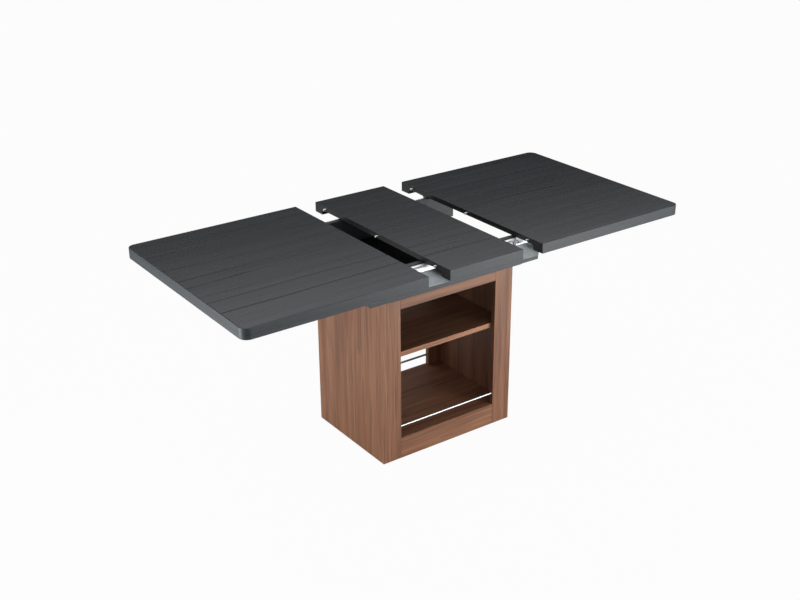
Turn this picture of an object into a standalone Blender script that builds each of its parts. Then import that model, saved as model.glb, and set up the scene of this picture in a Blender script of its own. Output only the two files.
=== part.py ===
"""Extending dining table: an open cabinet, two end leaves on slides and a loose centre leaf.

Metres, +Z up. The origin is on the floor under the middle of the table. X runs along the table, with the left
leaf at -X, and the front of the table faces -Y. The pieces stand with both end leaves pulled out, so that an
open gap lies on each side of the centre leaf.
"""
import math

import bmesh
import bpy
from mathutils import Matrix, Vector

# Whole table
TABLE_HEIGHT = 0.760
TABLE_DEPTH = 0.800
LEAF_LENGTH = 0.650
CENTRE_LEAF_LENGTH = 0.300
LEAF_GAP = 0.084

# Fits
SEAT_GAP = 0.0003
SLIDE_CLEARANCE = 0.0005
BORE_CLEARANCE = 0.0003

# Table top
BOARD_THICKNESS = 0.018
EDGE_HEIGHT = 0.036
LIP_WIDTH = 0.046
LEAF_CORNER_RADIUS = 0.028

# Alignment pins between the leaves
PIN_DIAMETER = 0.008
PIN_REACH = 0.013
PIN_SEAT = 0.016
PIN_TIP = 0.002
PIN_INSET = 0.072

# Front edge plate, carried by the left leaf
EDGE_PLATE_LENGTH = 0.737
EDGE_PLATE_OVERLAP = 0.219
EDGE_PLATE_WIDTH = 0.1115
EDGE_PLATE_THICKNESS = 0.013
EDGE_PLATE_CORNER_CUT = 0.070

# Cabinet
CABINET_WIDTH = 0.556
CABINET_DEPTH = 0.406
SIDE_THICKNESS = 0.018
STILE_WIDTH = 0.057
STILE_THICKNESS = 0.018
TOP_RAIL_HEIGHT = 0.059
BOTTOM_RAIL_HEIGHT = 0.080
FLOOR_THICKNESS = 0.018
SHELF_THICKNESS = 0.018
SHELF_TOP = 0.400
TOP_PANEL_THICKNESS = 0.018

# Guard rods and shelf pins
ROD_DIAMETER = 0.008
ROD_HEIGHT = 0.122
ROD_SEAT = 0.010
SHELF_PIN_DIAMETER = 0.006
SHELF_PIN_REACH = 0.010
SHELF_PIN_SEAT = 0.009
SHELF_PIN_INSET = 0.050

# Support rails and the pads that carry the centre leaf
SUPPORT_RAIL_LENGTH = 0.704
SUPPORT_RAIL_HEIGHT = 0.092
SUPPORT_RAIL_THICKNESS = 0.018
SUPPORT_RAIL_INSET = 0.150
PAD_WIDTH = 0.012
PAD_THICKNESS = 0.004
PAD_INSET = 0.020

# Slides
CHANNEL_LENGTH = 0.694
CHANNEL_HEIGHT = 0.036
CHANNEL_DEPTH = 0.013
CHANNEL_SHEET = 0.0015
CHANNEL_LIP = 0.006
CHANNEL_DROP = 0.0035
SLIDE_BAR_LENGTH = 0.450
SLIDE_BAR_SETBACK = 0.001
SLIDE_BAR_STANDOFF = 0.0035
ANGLE_SHEET = 0.002
ANGLE_HEIGHT = 0.033
ANGLE_FLANGE = 0.026
ACCESS_HOLE_DIAMETER = 0.007
ACCESS_HOLE_INSET = 0.0095
ACCESS_HOLE_RISE = 0.005

# Screws that hold the slide angles up to the leaves
SCREW_SHANK = 0.004
SCREW_HEAD = 0.008
SCREW_HEAD_HEIGHT = 0.0025
SCREW_LENGTH = 0.012
SCREW_END_INSET = 0.040

# Facets
CORNER_STEPS = 8
ROUND_SIDES = 16
SHARP_ANGLE = math.radians(40)
OVERSHOOT = 0.001

# Heights, worked down from the table top
BOARD_UNDERSIDE = TABLE_HEIGHT - BOARD_THICKNESS
LIP_BOTTOM = TABLE_HEIGHT - EDGE_HEIGHT
PAD_BOTTOM = BOARD_UNDERSIDE - SEAT_GAP - PAD_THICKNESS
SUPPORT_RAIL_TOP = PAD_BOTTOM - SEAT_GAP
SUPPORT_RAIL_BOTTOM = SUPPORT_RAIL_TOP - SUPPORT_RAIL_HEIGHT
TOP_PANEL_TOP = SUPPORT_RAIL_BOTTOM - SEAT_GAP
TOP_PANEL_BOTTOM = TOP_PANEL_TOP - TOP_PANEL_THICKNESS
CABINET_TOP = TOP_PANEL_BOTTOM - SEAT_GAP
CHANNEL_TOP = SUPPORT_RAIL_TOP - CHANNEL_DROP
CHANNEL_MIDDLE = CHANNEL_TOP - CHANNEL_HEIGHT / 2
PIN_LEVEL = TABLE_HEIGHT - BOARD_THICKNESS / 2

# Places along and across the table
HALF_DEPTH = TABLE_DEPTH / 2
HALF_CENTRE_LEAF = CENTRE_LEAF_LENGTH / 2
LEAF_INNER_END = HALF_CENTRE_LEAF + LEAF_GAP
LEAF_OUTER_END = LEAF_INNER_END + LEAF_LENGTH
LIP_INNER_FACE = HALF_DEPTH - LIP_WIDTH
SUPPORT_RAIL_OUTER_FACE = HALF_DEPTH - SUPPORT_RAIL_INSET
SUPPORT_RAIL_INNER_FACE = SUPPORT_RAIL_OUTER_FACE - SUPPORT_RAIL_THICKNESS
SUPPORT_RAIL_MIDDLE = SUPPORT_RAIL_OUTER_FACE - SUPPORT_RAIL_THICKNESS / 2
SIDE_INNER_FACE = CABINET_WIDTH / 2 - SIDE_THICKNESS
STILE_INNER_EDGE = SIDE_INNER_FACE - SEAT_GAP - STILE_WIDTH
STILE_BACK = CABINET_DEPTH / 2 - STILE_THICKNESS
SHELF_BOTTOM = SHELF_TOP - SHELF_THICKNESS

# Slide sections, measured outwards from a support rail's outer face
WEB_INNER = SEAT_GAP
WEB_OUTER = WEB_INNER + CHANNEL_SHEET
CHANNEL_MOUTH = WEB_INNER + CHANNEL_DEPTH
LIP_BACK = CHANNEL_MOUTH - CHANNEL_SHEET
BAR_BACK = WEB_INNER + SLIDE_BAR_STANDOFF
BAR_SHOULDER = LIP_BACK - SLIDE_CLEARANCE
BAR_FACE = CHANNEL_MOUTH + SLIDE_CLEARANCE
ANGLE_BACK = BAR_FACE + SEAT_GAP
ANGLE_FACE = ANGLE_BACK + ANGLE_SHEET
ANGLE_FLANGE_EDGE = ANGLE_BACK + ANGLE_FLANGE
ANGLE_FLANGE_BOTTOM = BOARD_UNDERSIDE - SEAT_GAP - ANGLE_SHEET

FRONT, REAR = -1, 1
LEFT, RIGHT = -1, 1
PIN_ROWS = {"front": -(HALF_DEPTH - PIN_INSET), "middle": 0.0, "rear": HALF_DEPTH - PIN_INSET}
ROW_NAMES = {FRONT: "front", REAR: "rear"}
SIDE_NAMES = {LEFT: "left", RIGHT: "right"}

FINISHES = {
    "black_ash": ((0.050, 0.051, 0.055), 0.50, 0.0),
    "black_edge": ((0.110, 0.112, 0.118), 0.42, 0.0),
    "walnut": ((0.210, 0.105, 0.062), 0.50, 0.0),
    "dark_board": ((0.030, 0.030, 0.032), 0.60, 0.0),
    "zinc": ((0.720, 0.730, 0.740), 0.32, 1.0),
    "steel": ((0.600, 0.600, 0.610), 0.28, 1.0),
    "rubber": ((0.020, 0.020, 0.020), 0.80, 0.0),
}


def clear_scene():
    for item in list(bpy.data.objects):
        bpy.data.objects.remove(item, do_unlink=True)


def make_finishes():
    made = {}
    for name, (colour, roughness, metallic) in FINISHES.items():
        material = bpy.data.materials.new(name)
        material.use_nodes = True
        shader = material.node_tree.nodes["Principled BSDF"]
        shader.inputs["Base Color"].default_value = (*colour, 1.0)
        shader.inputs["Roughness"].default_value = roughness
        shader.inputs["Metallic"].default_value = metallic
        made[name] = material
    return made


def make_body(name, place):
    """The empty that carries one moving body, on the line along which the body slides."""
    body = bpy.data.objects.new(name, None)
    body.location = place
    bpy.context.scene.collection.objects.link(body)
    return body


def add_prism(shape, corners, axis, start, end):
    """Extrude a flat outline along an axis; its corners are given in the other two axes, in X, Y, Z order."""
    rings = []
    for level in (start, end):
        ring = []
        for first, second in corners:
            place = [first, second]
            place.insert("xyz".index(axis), level)
            ring.append(shape.verts.new(place))
        rings.append(ring)
    faces = [shape.faces.new(rings[0]), shape.faces.new(rings[1])]
    for index in range(len(corners)):
        following = (index + 1) % len(corners)
        faces.append(shape.faces.new((rings[0][index], rings[0][following],
                                      rings[1][following], rings[1][index])))
    bmesh.ops.recalc_face_normals(shape, faces=faces)


def add_box(shape, x_range, y_range, z_range):
    x0, x1 = sorted(x_range)
    y0, y1 = sorted(y_range)
    add_prism(shape, [(x0, y0), (x1, y0), (x1, y1), (x0, y1)], "z", *sorted(z_range))


def add_turned(shape, start, direction, profile):
    """A turned solid: the profile lists distances along the axis and the radius at each."""
    axis = Vector(direction).normalized()
    turn = Vector((0, 0, 1)).rotation_difference(axis).to_matrix().to_4x4()
    place = Matrix.Translation(start) @ turn
    rings = []
    for distance, radius in profile:
        ring = []
        for step in range(ROUND_SIDES):
            angle = 2 * math.pi * (step + 0.5) / ROUND_SIDES
            point = Vector((radius * math.cos(angle), radius * math.sin(angle), distance))
            ring.append(shape.verts.new(place @ point))
        rings.append(ring)
    faces = [shape.faces.new(rings[0]), shape.faces.new(rings[-1])]
    for low, high in zip(rings, rings[1:]):
        for step in range(ROUND_SIDES):
            following = (step + 1) % ROUND_SIDES
            faces.append(shape.faces.new((low[step], low[following], high[following], high[step])))
    bmesh.ops.recalc_face_normals(shape, faces=faces)


def make_object(name, shape, body):
    """Turn a shape drawn in the table's frame into an object whose origin is at the shape's middle."""
    low = Vector([min(vert.co[i] for vert in shape.verts) for i in range(3)])
    high = Vector([max(vert.co[i] for vert in shape.verts) for i in range(3)])
    middle = (low + high) / 2
    bmesh.ops.translate(shape, vec=-middle, verts=shape.verts)
    mesh = bpy.data.meshes.new(name)
    shape.to_mesh(mesh)
    shape.free()
    item = bpy.data.objects.new(name, mesh)
    item.parent = body
    item.location = middle - body.location
    bpy.context.scene.collection.objects.link(item)
    return item


def make_piece(name, shape, finish, body, smooth=False):
    item = make_object(name, shape, body)
    item.data.materials.append(finish)
    if smooth:
        item.data.shade_smooth()
        item.data.set_sharp_from_angle(angle=SHARP_ANGLE)
    return item


def make_block(name, x_range, y_range, z_range, finish, body):
    shape = bmesh.new()
    add_box(shape, x_range, y_range, z_range)
    return make_piece(name, shape, finish, body)


def drill(item, holes):
    """Bore holes, each given as its mouth, the direction it goes in, its depth and its diameter."""
    shape = bmesh.new()
    for mouth, direction, depth, diameter in holes:
        start = Vector(mouth) - Vector(direction) * OVERSHOOT
        add_turned(shape, start, direction, [(0, diameter / 2), (depth + OVERSHOOT, diameter / 2)])
    cutter = make_object(item.name + "_bores", shape, item.parent)
    cutter.hide_render = True
    cutter.display_type = "WIRE"
    cut = item.modifiers.new("bores", "BOOLEAN")
    cut.operation = "DIFFERENCE"
    cut.solver = "EXACT"
    cut.object = cutter


def hole_for(diameter):
    return diameter + 2 * BORE_CLEARANCE


def corner_arc(x_end, y_edge, side, row, radius):
    """A leaf's rounded outer corner, from its long edge round to its outer end."""
    centre_x = x_end - side * radius
    centre_y = y_edge - row * radius
    points = []
    for step in range(CORNER_STEPS + 1):
        angle = math.pi / 2 * step / CORNER_STEPS
        points.append((centre_x + side * radius * math.sin(angle), centre_y + row * radius * math.cos(angle)))
    return points


def make_turned(name, start, direction, profile, finish, body):
    shape = bmesh.new()
    add_turned(shape, start, direction, profile)
    make_piece(name, shape, finish, body, smooth=True)


def make_pins(leaf_name, x_end, finish, body):
    """Alignment pins that stand out of a leaf's left end."""
    length = PIN_SEAT + PIN_REACH
    radius = PIN_DIAMETER / 2
    profile = [(0, radius), (length - PIN_TIP, radius), (length, radius - PIN_TIP)]
    for name, row in PIN_ROWS.items():
        make_turned(leaf_name + "_" + name + "_pin", (x_end + PIN_SEAT, row, PIN_LEVEL), (-1, 0, 0), profile,
                    finish, body)


def pin_seats(x_end):
    """Bores that hold the pins in a left end."""
    return [((x_end, row, PIN_LEVEL), (1, 0, 0), PIN_SEAT + SEAT_GAP, hole_for(PIN_DIAMETER))
            for row in PIN_ROWS.values()]


def pin_sockets(x_end):
    """Bores in a right end, which the next leaf's pins enter."""
    return [((x_end, row, PIN_LEVEL), (-1, 0, 0), PIN_REACH + PIN_TIP, hole_for(PIN_DIAMETER))
            for row in PIN_ROWS.values()]


def slide_screw_places(side, row):
    """The two screws of one slide angle, at the flange's underside."""
    start = LEAF_INNER_END + SLIDE_BAR_SETBACK
    across = SUPPORT_RAIL_OUTER_FACE + (ANGLE_FACE + ANGLE_FLANGE_EDGE) / 2
    places = {"inner": start + SCREW_END_INSET, "outer": start + SLIDE_BAR_LENGTH - SCREW_END_INSET}
    return {name: (side * along, row * across, ANGLE_FLANGE_BOTTOM) for name, along in places.items()}


def make_leaf_board(side, finish, body):
    name = SIDE_NAMES[side] + "_leaf_board"
    inner, outer = side * LEAF_INNER_END, side * LEAF_OUTER_END
    outline = [(inner, -HALF_DEPTH)]
    outline += corner_arc(outer, -HALF_DEPTH, side, FRONT, LEAF_CORNER_RADIUS)
    outline += reversed(corner_arc(outer, HALF_DEPTH, side, REAR, LEAF_CORNER_RADIUS))
    outline += [(inner, HALF_DEPTH)]
    shape = bmesh.new()
    add_prism(shape, outline, "z", BOARD_UNDERSIDE, TABLE_HEIGHT)
    board = make_piece(name, shape, finish, body)
    bite = SCREW_LENGTH - ANGLE_SHEET
    pilots = [((x, y, BOARD_UNDERSIDE), (0, 0, 1), bite, hole_for(SCREW_SHANK))
              for row in (FRONT, REAR) for x, y, z in slide_screw_places(side, row).values()]
    ends = pin_sockets(inner) if side == LEFT else pin_seats(inner)
    drill(board, ends + pilots)


def make_leaf_lips(side, finish, body):
    name = SIDE_NAMES[side] + "_leaf"
    inner, outer = side * LEAF_INNER_END, side * LEAF_OUTER_END
    lip_levels = (LIP_BOTTOM, BOARD_UNDERSIDE - SEAT_GAP)
    radius = min(LEAF_CORNER_RADIUS, LIP_WIDTH - SEAT_GAP)
    for row in (FRONT, REAR):
        outline = [(inner, row * HALF_DEPTH)]
        outline += corner_arc(outer, row * HALF_DEPTH, side, row, radius)
        outline += [(outer, row * LIP_INNER_FACE), (inner, row * LIP_INNER_FACE)]
        shape = bmesh.new()
        add_prism(shape, outline, "z", *lip_levels)
        make_piece(name + "_" + ROW_NAMES[row] + "_lip", shape, finish, body)
    end_face = LIP_INNER_FACE - SEAT_GAP
    make_block(name + "_end_lip", (outer, outer - side * LIP_WIDTH), (-end_face, end_face), lip_levels,
               finish, body)


def make_slide(side, row, finishes, body):
    """One leaf's slide bar with the angle that hangs it from the leaf."""
    name = SIDE_NAMES[side] + "_" + ROW_NAMES[row]
    start = side * (LEAF_INNER_END + SLIDE_BAR_SETBACK)
    end = start + side * SLIDE_BAR_LENGTH

    def outline(points):
        return [(row * (SUPPORT_RAIL_OUTER_FACE + across), level) for across, level in points]

    head = CHANNEL_HEIGHT / 2 - CHANNEL_SHEET - SLIDE_CLEARANCE
    neck = CHANNEL_HEIGHT / 2 - CHANNEL_LIP - SLIDE_CLEARANCE
    bar_points = [(BAR_BACK, CHANNEL_MIDDLE - head), (BAR_SHOULDER, CHANNEL_MIDDLE - head),
                  (BAR_SHOULDER, CHANNEL_MIDDLE - neck), (BAR_FACE, CHANNEL_MIDDLE - neck),
                  (BAR_FACE, CHANNEL_MIDDLE + neck), (BAR_SHOULDER, CHANNEL_MIDDLE + neck),
                  (BAR_SHOULDER, CHANNEL_MIDDLE + head), (BAR_BACK, CHANNEL_MIDDLE + head)]
    shape = bmesh.new()
    add_prism(shape, outline(bar_points), "x", start, end)
    bar = make_piece(name + "_slide_bar", shape, finishes["zinc"], body)

    top = BOARD_UNDERSIDE - SEAT_GAP
    angle_points = [(ANGLE_BACK, top - ANGLE_HEIGHT), (ANGLE_FACE, top - ANGLE_HEIGHT),
                    (ANGLE_FACE, ANGLE_FLANGE_BOTTOM), (ANGLE_FLANGE_EDGE, ANGLE_FLANGE_BOTTOM),
                    (ANGLE_FLANGE_EDGE, top), (ANGLE_BACK, top)]
    shape = bmesh.new()
    add_prism(shape, outline(angle_points), "x", start, end)
    angle = make_piece(name + "_slide_angle", shape, finishes["zinc"], body)

    inwards = (0, -row, 0)
    angle_face = row * (SUPPORT_RAIL_OUTER_FACE + ANGLE_FACE)
    bar_face = row * (SUPPORT_RAIL_OUTER_FACE + BAR_FACE)
    access = start + side * ACCESS_HOLE_INSET
    access_level = CHANNEL_MIDDLE + ACCESS_HOLE_RISE
    sheet = ANGLE_SHEET + OVERSHOOT
    screws = slide_screw_places(side, row)
    drill(angle, [((access, angle_face, access_level), inwards, sheet, ACCESS_HOLE_DIAMETER)]
          + [(place, (0, 0, 1), sheet, hole_for(SCREW_SHANK)) for place in screws.values()])
    drill(bar, [((access, bar_face, access_level), inwards, BAR_FACE - BAR_BACK + OVERSHOOT,
                 ACCESS_HOLE_DIAMETER)])
    profile = [(0, SCREW_HEAD / 2), (SCREW_HEAD_HEIGHT, SCREW_HEAD / 2),
               (SCREW_HEAD_HEIGHT, SCREW_SHANK / 2), (SCREW_HEAD_HEIGHT + SCREW_LENGTH, SCREW_SHANK / 2)]
    for place_name, (x, y, z) in screws.items():
        make_turned(name + "_slide_" + place_name + "_screw", (x, y, z - SEAT_GAP - SCREW_HEAD_HEIGHT),
                    (0, 0, 1), profile, finishes["steel"], body)


def make_edge_plate(finish, body):
    """The plate fixed under the left leaf's front lip, flush with the front edge, with one corner cut off."""
    x_start = -LEAF_INNER_END - EDGE_PLATE_OVERLAP
    x_end = x_start + EDGE_PLATE_LENGTH
    back = -HALF_DEPTH + EDGE_PLATE_WIDTH
    outline = [(x_start, -HALF_DEPTH), (x_end - EDGE_PLATE_CORNER_CUT, -HALF_DEPTH),
               (x_end, -HALF_DEPTH + EDGE_PLATE_CORNER_CUT), (x_end, back), (x_start, back)]
    plate_top = LIP_BOTTOM - SEAT_GAP
    shape = bmesh.new()
    add_prism(shape, outline, "z", plate_top - EDGE_PLATE_THICKNESS, plate_top)
    make_piece("front_edge_plate", shape, finish, body)


def make_end_leaf(side, finishes, body):
    make_leaf_board(side, finishes["black_ash"], body)
    make_leaf_lips(side, finishes["black_edge"], body)
    for row in (FRONT, REAR):
        make_slide(side, row, finishes, body)
    if side == LEFT:
        make_edge_plate(finishes["black_edge"], body)
    else:
        make_pins("right_leaf", LEAF_INNER_END, finishes["steel"], body)


def make_centre_leaf(finishes, body):
    x_range = (-HALF_CENTRE_LEAF, HALF_CENTRE_LEAF)
    board = make_block("centre_leaf_board", x_range, (-HALF_DEPTH, HALF_DEPTH),
                       (BOARD_UNDERSIDE, TABLE_HEIGHT), finishes["black_ash"], body)
    drill(board, pin_seats(-HALF_CENTRE_LEAF) + pin_sockets(HALF_CENTRE_LEAF))
    for row in (FRONT, REAR):
        make_block("centre_leaf_" + ROW_NAMES[row] + "_lip", x_range,
                   (row * HALF_DEPTH, row * LIP_INNER_FACE), (LIP_BOTTOM, BOARD_UNDERSIDE - SEAT_GAP),
                   finishes["black_edge"], body)
    make_pins("centre_leaf", -HALF_CENTRE_LEAF, finishes["steel"], body)


def make_sides(finishes, body):
    """The cabinet's side panels and the pins in them that carry the shelf."""
    half_depth = CABINET_DEPTH / 2
    pin_level = SHELF_BOTTOM - SEAT_GAP - SHELF_PIN_DIAMETER / 2
    pin_row = STILE_BACK - SHELF_PIN_INSET
    profile = [(0, SHELF_PIN_DIAMETER / 2), (SHELF_PIN_SEAT + SHELF_PIN_REACH, SHELF_PIN_DIAMETER / 2)]
    for side in (LEFT, RIGHT):
        name = SIDE_NAMES[side]
        inner_face = side * SIDE_INNER_FACE
        panel = make_block(name + "_side_panel", (inner_face, side * CABINET_WIDTH / 2),
                           (-half_depth, half_depth), (0, CABINET_TOP), finishes["walnut"], body)
        holes = []
        for row in (FRONT, REAR):
            holes.append(((inner_face, row * pin_row, pin_level), (side, 0, 0), SHELF_PIN_SEAT + SEAT_GAP,
                          hole_for(SHELF_PIN_DIAMETER)))
            make_turned(name + "_" + ROW_NAMES[row] + "_shelf_pin",
                        (inner_face + side * SHELF_PIN_SEAT, row * pin_row, pin_level), (-side, 0, 0),
                        profile, finishes["steel"], body)
        drill(panel, holes)


def make_face_frames(finishes, body):
    """Front and rear frames of two stiles and two rails, with a guard rod between the stiles."""
    rail_end = STILE_INNER_EDGE - SEAT_GAP
    rod_row = CABINET_DEPTH / 2 - STILE_THICKNESS / 2
    for row in (FRONT, REAR):
        name = ROW_NAMES[row]
        y_range = (row * STILE_BACK, row * CABINET_DEPTH / 2)
        for side in (LEFT, RIGHT):
            stile = make_block(name + "_" + SIDE_NAMES[side] + "_stile",
                               (side * STILE_INNER_EDGE, side * (SIDE_INNER_FACE - SEAT_GAP)), y_range,
                               (0, CABINET_TOP), finishes["walnut"], body)
            drill(stile, [((side * STILE_INNER_EDGE, row * rod_row, ROD_HEIGHT), (side, 0, 0),
                           ROD_SEAT + SEAT_GAP, hole_for(ROD_DIAMETER))])
        make_block(name + "_top_rail", (-rail_end, rail_end), y_range,
                   (CABINET_TOP - TOP_RAIL_HEIGHT, CABINET_TOP), finishes["walnut"], body)
        make_block(name + "_bottom_rail", (-rail_end, rail_end), y_range, (0, BOTTOM_RAIL_HEIGHT),
                   finishes["walnut"], body)
        half = STILE_INNER_EDGE + ROD_SEAT
        make_turned(name + "_guard_rod", (-half, row * rod_row, ROD_HEIGHT), (1, 0, 0),
                    [(0, ROD_DIAMETER / 2), (2 * half, ROD_DIAMETER / 2)], finishes["steel"], body)


def make_inner_panels(finishes, body):
    half_width = SIDE_INNER_FACE - SEAT_GAP
    half_depth = STILE_BACK - SEAT_GAP
    for name, top, thickness in (("cabinet_floor", BOTTOM_RAIL_HEIGHT, FLOOR_THICKNESS),
                                 ("shelf", SHELF_TOP, SHELF_THICKNESS)):
        make_block(name, (-half_width, half_width), (-half_depth, half_depth), (top - thickness, top),
                   finishes["walnut"], body)


def make_top_panel(finishes, body):
    """The panel on the cabinet, on which the support rails stand."""
    make_block("top_panel", (-CABINET_WIDTH / 2, CABINET_WIDTH / 2),
               (-SUPPORT_RAIL_OUTER_FACE, SUPPORT_RAIL_OUTER_FACE), (TOP_PANEL_BOTTOM, TOP_PANEL_TOP),
               finishes["dark_board"], body)


def make_support_rails(finishes, body):
    """The two rails that carry the slide channels on their outer faces and the centre leaf on their pads."""
    half_height = CHANNEL_HEIGHT / 2
    inside = half_height - CHANNEL_SHEET
    lip_edge = half_height - CHANNEL_LIP
    section = [(WEB_INNER, half_height), (CHANNEL_MOUTH, half_height), (CHANNEL_MOUTH, lip_edge),
               (LIP_BACK, lip_edge), (LIP_BACK, inside), (WEB_OUTER, inside)]
    section += [(across, -level) for across, level in reversed(section)]
    half_pad = HALF_CENTRE_LEAF - PAD_INSET
    for row in (FRONT, REAR):
        name = ROW_NAMES[row]
        make_block(name + "_support_rail", (-SUPPORT_RAIL_LENGTH / 2, SUPPORT_RAIL_LENGTH / 2),
                   (row * SUPPORT_RAIL_INNER_FACE, row * SUPPORT_RAIL_OUTER_FACE),
                   (SUPPORT_RAIL_BOTTOM, SUPPORT_RAIL_TOP), finishes["black_edge"], body)
        shape = bmesh.new()
        outline = [(row * (SUPPORT_RAIL_OUTER_FACE + across), CHANNEL_MIDDLE + level)
                   for across, level in section]
        add_prism(shape, outline, "x", -CHANNEL_LENGTH / 2, CHANNEL_LENGTH / 2)
        make_piece(name + "_slide_channel", shape, finishes["zinc"], body)
        make_block(name + "_leaf_pad", (-half_pad, half_pad),
                   (row * SUPPORT_RAIL_MIDDLE - PAD_WIDTH / 2, row * SUPPORT_RAIL_MIDDLE + PAD_WIDTH / 2),
                   (PAD_BOTTOM, PAD_BOTTOM + PAD_THICKNESS), finishes["rubber"], body)


def main():
    clear_scene()
    finishes = make_finishes()
    base = make_body("base", (0, 0, 0))
    leaf_middle = (LEAF_INNER_END + LEAF_OUTER_END) / 2
    left_leaf = make_body("left_leaf", (-leaf_middle, 0, CHANNEL_MIDDLE))
    right_leaf = make_body("right_leaf", (leaf_middle, 0, CHANNEL_MIDDLE))
    centre_leaf = make_body("centre_leaf", (0, 0, BOARD_UNDERSIDE))
    make_sides(finishes, base)
    make_face_frames(finishes, base)
    make_inner_panels(finishes, base)
    make_top_panel(finishes, base)
    make_support_rails(finishes, base)
    make_end_leaf(LEFT, finishes, left_leaf)
    make_end_leaf(RIGHT, finishes, right_leaf)
    make_centre_leaf(finishes, centre_leaf)


main()
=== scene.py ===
"""Looks of an extending dining table: black ash leaves with smooth edging, a walnut cabinet and zinc slides.

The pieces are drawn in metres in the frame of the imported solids. The origin is on the floor under the middle
of the table, X runs along the table with the left leaf at -X, and the front faces -Y.
"""
import math

import bmesh
import bpy
from bpy.props import FloatProperty, FloatVectorProperty, IntProperty, PointerProperty
from mathutils import Matrix, Vector


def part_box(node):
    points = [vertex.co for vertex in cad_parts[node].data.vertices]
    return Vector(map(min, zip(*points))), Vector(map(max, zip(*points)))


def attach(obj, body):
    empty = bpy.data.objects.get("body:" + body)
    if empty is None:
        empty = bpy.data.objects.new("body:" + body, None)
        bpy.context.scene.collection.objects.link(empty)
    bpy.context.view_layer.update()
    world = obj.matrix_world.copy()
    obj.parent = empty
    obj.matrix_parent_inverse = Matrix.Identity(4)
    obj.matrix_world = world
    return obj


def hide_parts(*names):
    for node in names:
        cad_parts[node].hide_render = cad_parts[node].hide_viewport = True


bl_info = {
    "name": "Extending dining table",
    "version": (1, 0, 0),
    "blender": (4, 5, 0),
    "location": "3D View > Sidebar > Table",
    "description": "Dresses the solids of an extending dining table and sets them in a plain studio",
    "category": "Object",
}

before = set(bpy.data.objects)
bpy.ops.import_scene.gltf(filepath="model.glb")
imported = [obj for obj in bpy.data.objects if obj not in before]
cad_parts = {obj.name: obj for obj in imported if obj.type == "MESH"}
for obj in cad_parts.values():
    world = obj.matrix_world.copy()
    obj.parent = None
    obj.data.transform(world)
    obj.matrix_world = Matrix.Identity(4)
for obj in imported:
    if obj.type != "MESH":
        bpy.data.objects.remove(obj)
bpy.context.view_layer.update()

# Leaves and sides with their sign along X, rows with their sign along Y
LEAVES = {"left_leaf": -1, "centre_leaf": 0, "right_leaf": 1}
SIDES = {"left": -1, "right": 1}
ROWS = {"front": -1, "rear": 1}
PIN_ROWS = ("front", "middle", "rear")
NEXT_LEAF = {"left_leaf": "centre_leaf", "centre_leaf": "right_leaf"}
ALONG_X, ALONG_Z = 0, 2
UP, DOWN = Vector((0, 0, 1)), Vector((0, 0, -1))

# Meshes
EASE_ANGLE = math.radians(30)
SHARP_ANGLE = math.radians(50)
BORE_SIDES = 32
BORE_OVERSHOOT = 0.001
HAIRLINE = 0.0001
# A face looks along an axis when its unit normal has more than this share of it: mostly, or nearly straight.
MOSTLY, NEARLY = 0.5, 0.9

# Each face takes its grain from a sheet of its own, so many sheets further on for each piece.
SHEET_STEP = 3.7
SHEET_SHIFT = 0.61
SHEETS_PER_LEAF = 11
SHEETS_PER_PANEL = 23

# Slides, pins and fasteners; shares are of the length that is screwed or riveted
BAR_CLEARANCE = 0.0005
BAR_ARRIS = 0.0004
PIN_TIP = 0.0025
PEG_TIP = 0.0006
SOCKET_EASE = 1.08
RIVET_SHARES = (0.12, 0.37, 0.63, 0.92)
STRIP_SHARES = (0.12, 0.50, 0.88)
CHANNEL_SHARES = (0.06, 0.36, 0.50, 0.64, 0.94)

# Screws: the arms of the cross recess as shares of the head's width and of its dome
HEAD_SIDES, HEAD_RINGS, SHANK_SIDES = 24, 5, 16
ARM_LENGTH, ARM_WIDTH, ARM_DEPTH = 0.56, 0.14, 2.4
SCREW_SEED = 7

# Turned pieces keep a flat of half their diameter at the rounded end.
TURNED_SIDES, TURNED_RINGS = 32, 40
TIP_FALL = -0.75

# The edging's lower edge is rounded by this share of the upper one's radius.
LOWER_ARRIS = 0.2
ARRIS_STEPS = 3

# Sockets of the Mix node when it mixes colours
MIX_A, MIX_B, MIX_RESULT = 6, 7, 2
# Sockets of the Random Value node when it gives a float
RANDOM_MIN, RANDOM_MAX, RANDOM_RESULT = 2, 3, 1
PLAIN_WHITE = (1.0, 1.0, 1.0, 1.0)

# Stage
CARD_ACROSS = (0.81, -0.59, 0.0)
CARD_MIDDLE = (1.475, 2.025, 0.0)
CARD_HALF_WIDTH = 2.6
CARD_COLOUR = "#0c0c0c"
FLOOR_REACH = 12.0
FLOOR_DROP = 0.0004
FLOOR_WHITE = 0.97
# The camera's frame is so many millimetres wide.
SENSOR_WIDTH = 36.0
# Each soft box has a setting for its power, a width, a height, a place and a point that it faces. The two low
# ones stay under the level of the top, so that it mirrors neither of them.
SOFT_BOXES = {
    "overhead_soft_box": ("overhead", 2.6, 2.6, (0.2, 0.3, 3.4), (0.0, 0.0, 0.76)),
    "front_soft_box": ("front_fill", 1.2, 0.5, (1.5, -2.6, 0.45), (0.0, 0.0, 0.45)),
    "left_soft_box": ("left_fill", 0.6, 0.4, (-1.7, 0.05, 0.52), (-0.2, 0.05, 0.52)),
}


def linear(code):
    """Linear colour of an sRGB hex value."""
    shares = [int(code[place:place + 2], 16) / 255 for place in (1, 3, 5)]
    return tuple(c / 12.92 if c <= 0.04045 else ((c + 0.055) / 1.055) ** 2.4 for c in shares)


def length(name, description, default):
    return FloatProperty(name=name, description=description, default=default, min=0.0, unit="LENGTH",
                         precision=4)


def rotation(name, description, default):
    return FloatProperty(name=name, description=description, default=default, unit="ROTATION")


def colour(name, description, code):
    return FloatVectorProperty(name=name, description=description, default=linear(code), subtype="COLOR",
                               size=3, min=0.0, max=1.0)


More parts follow.
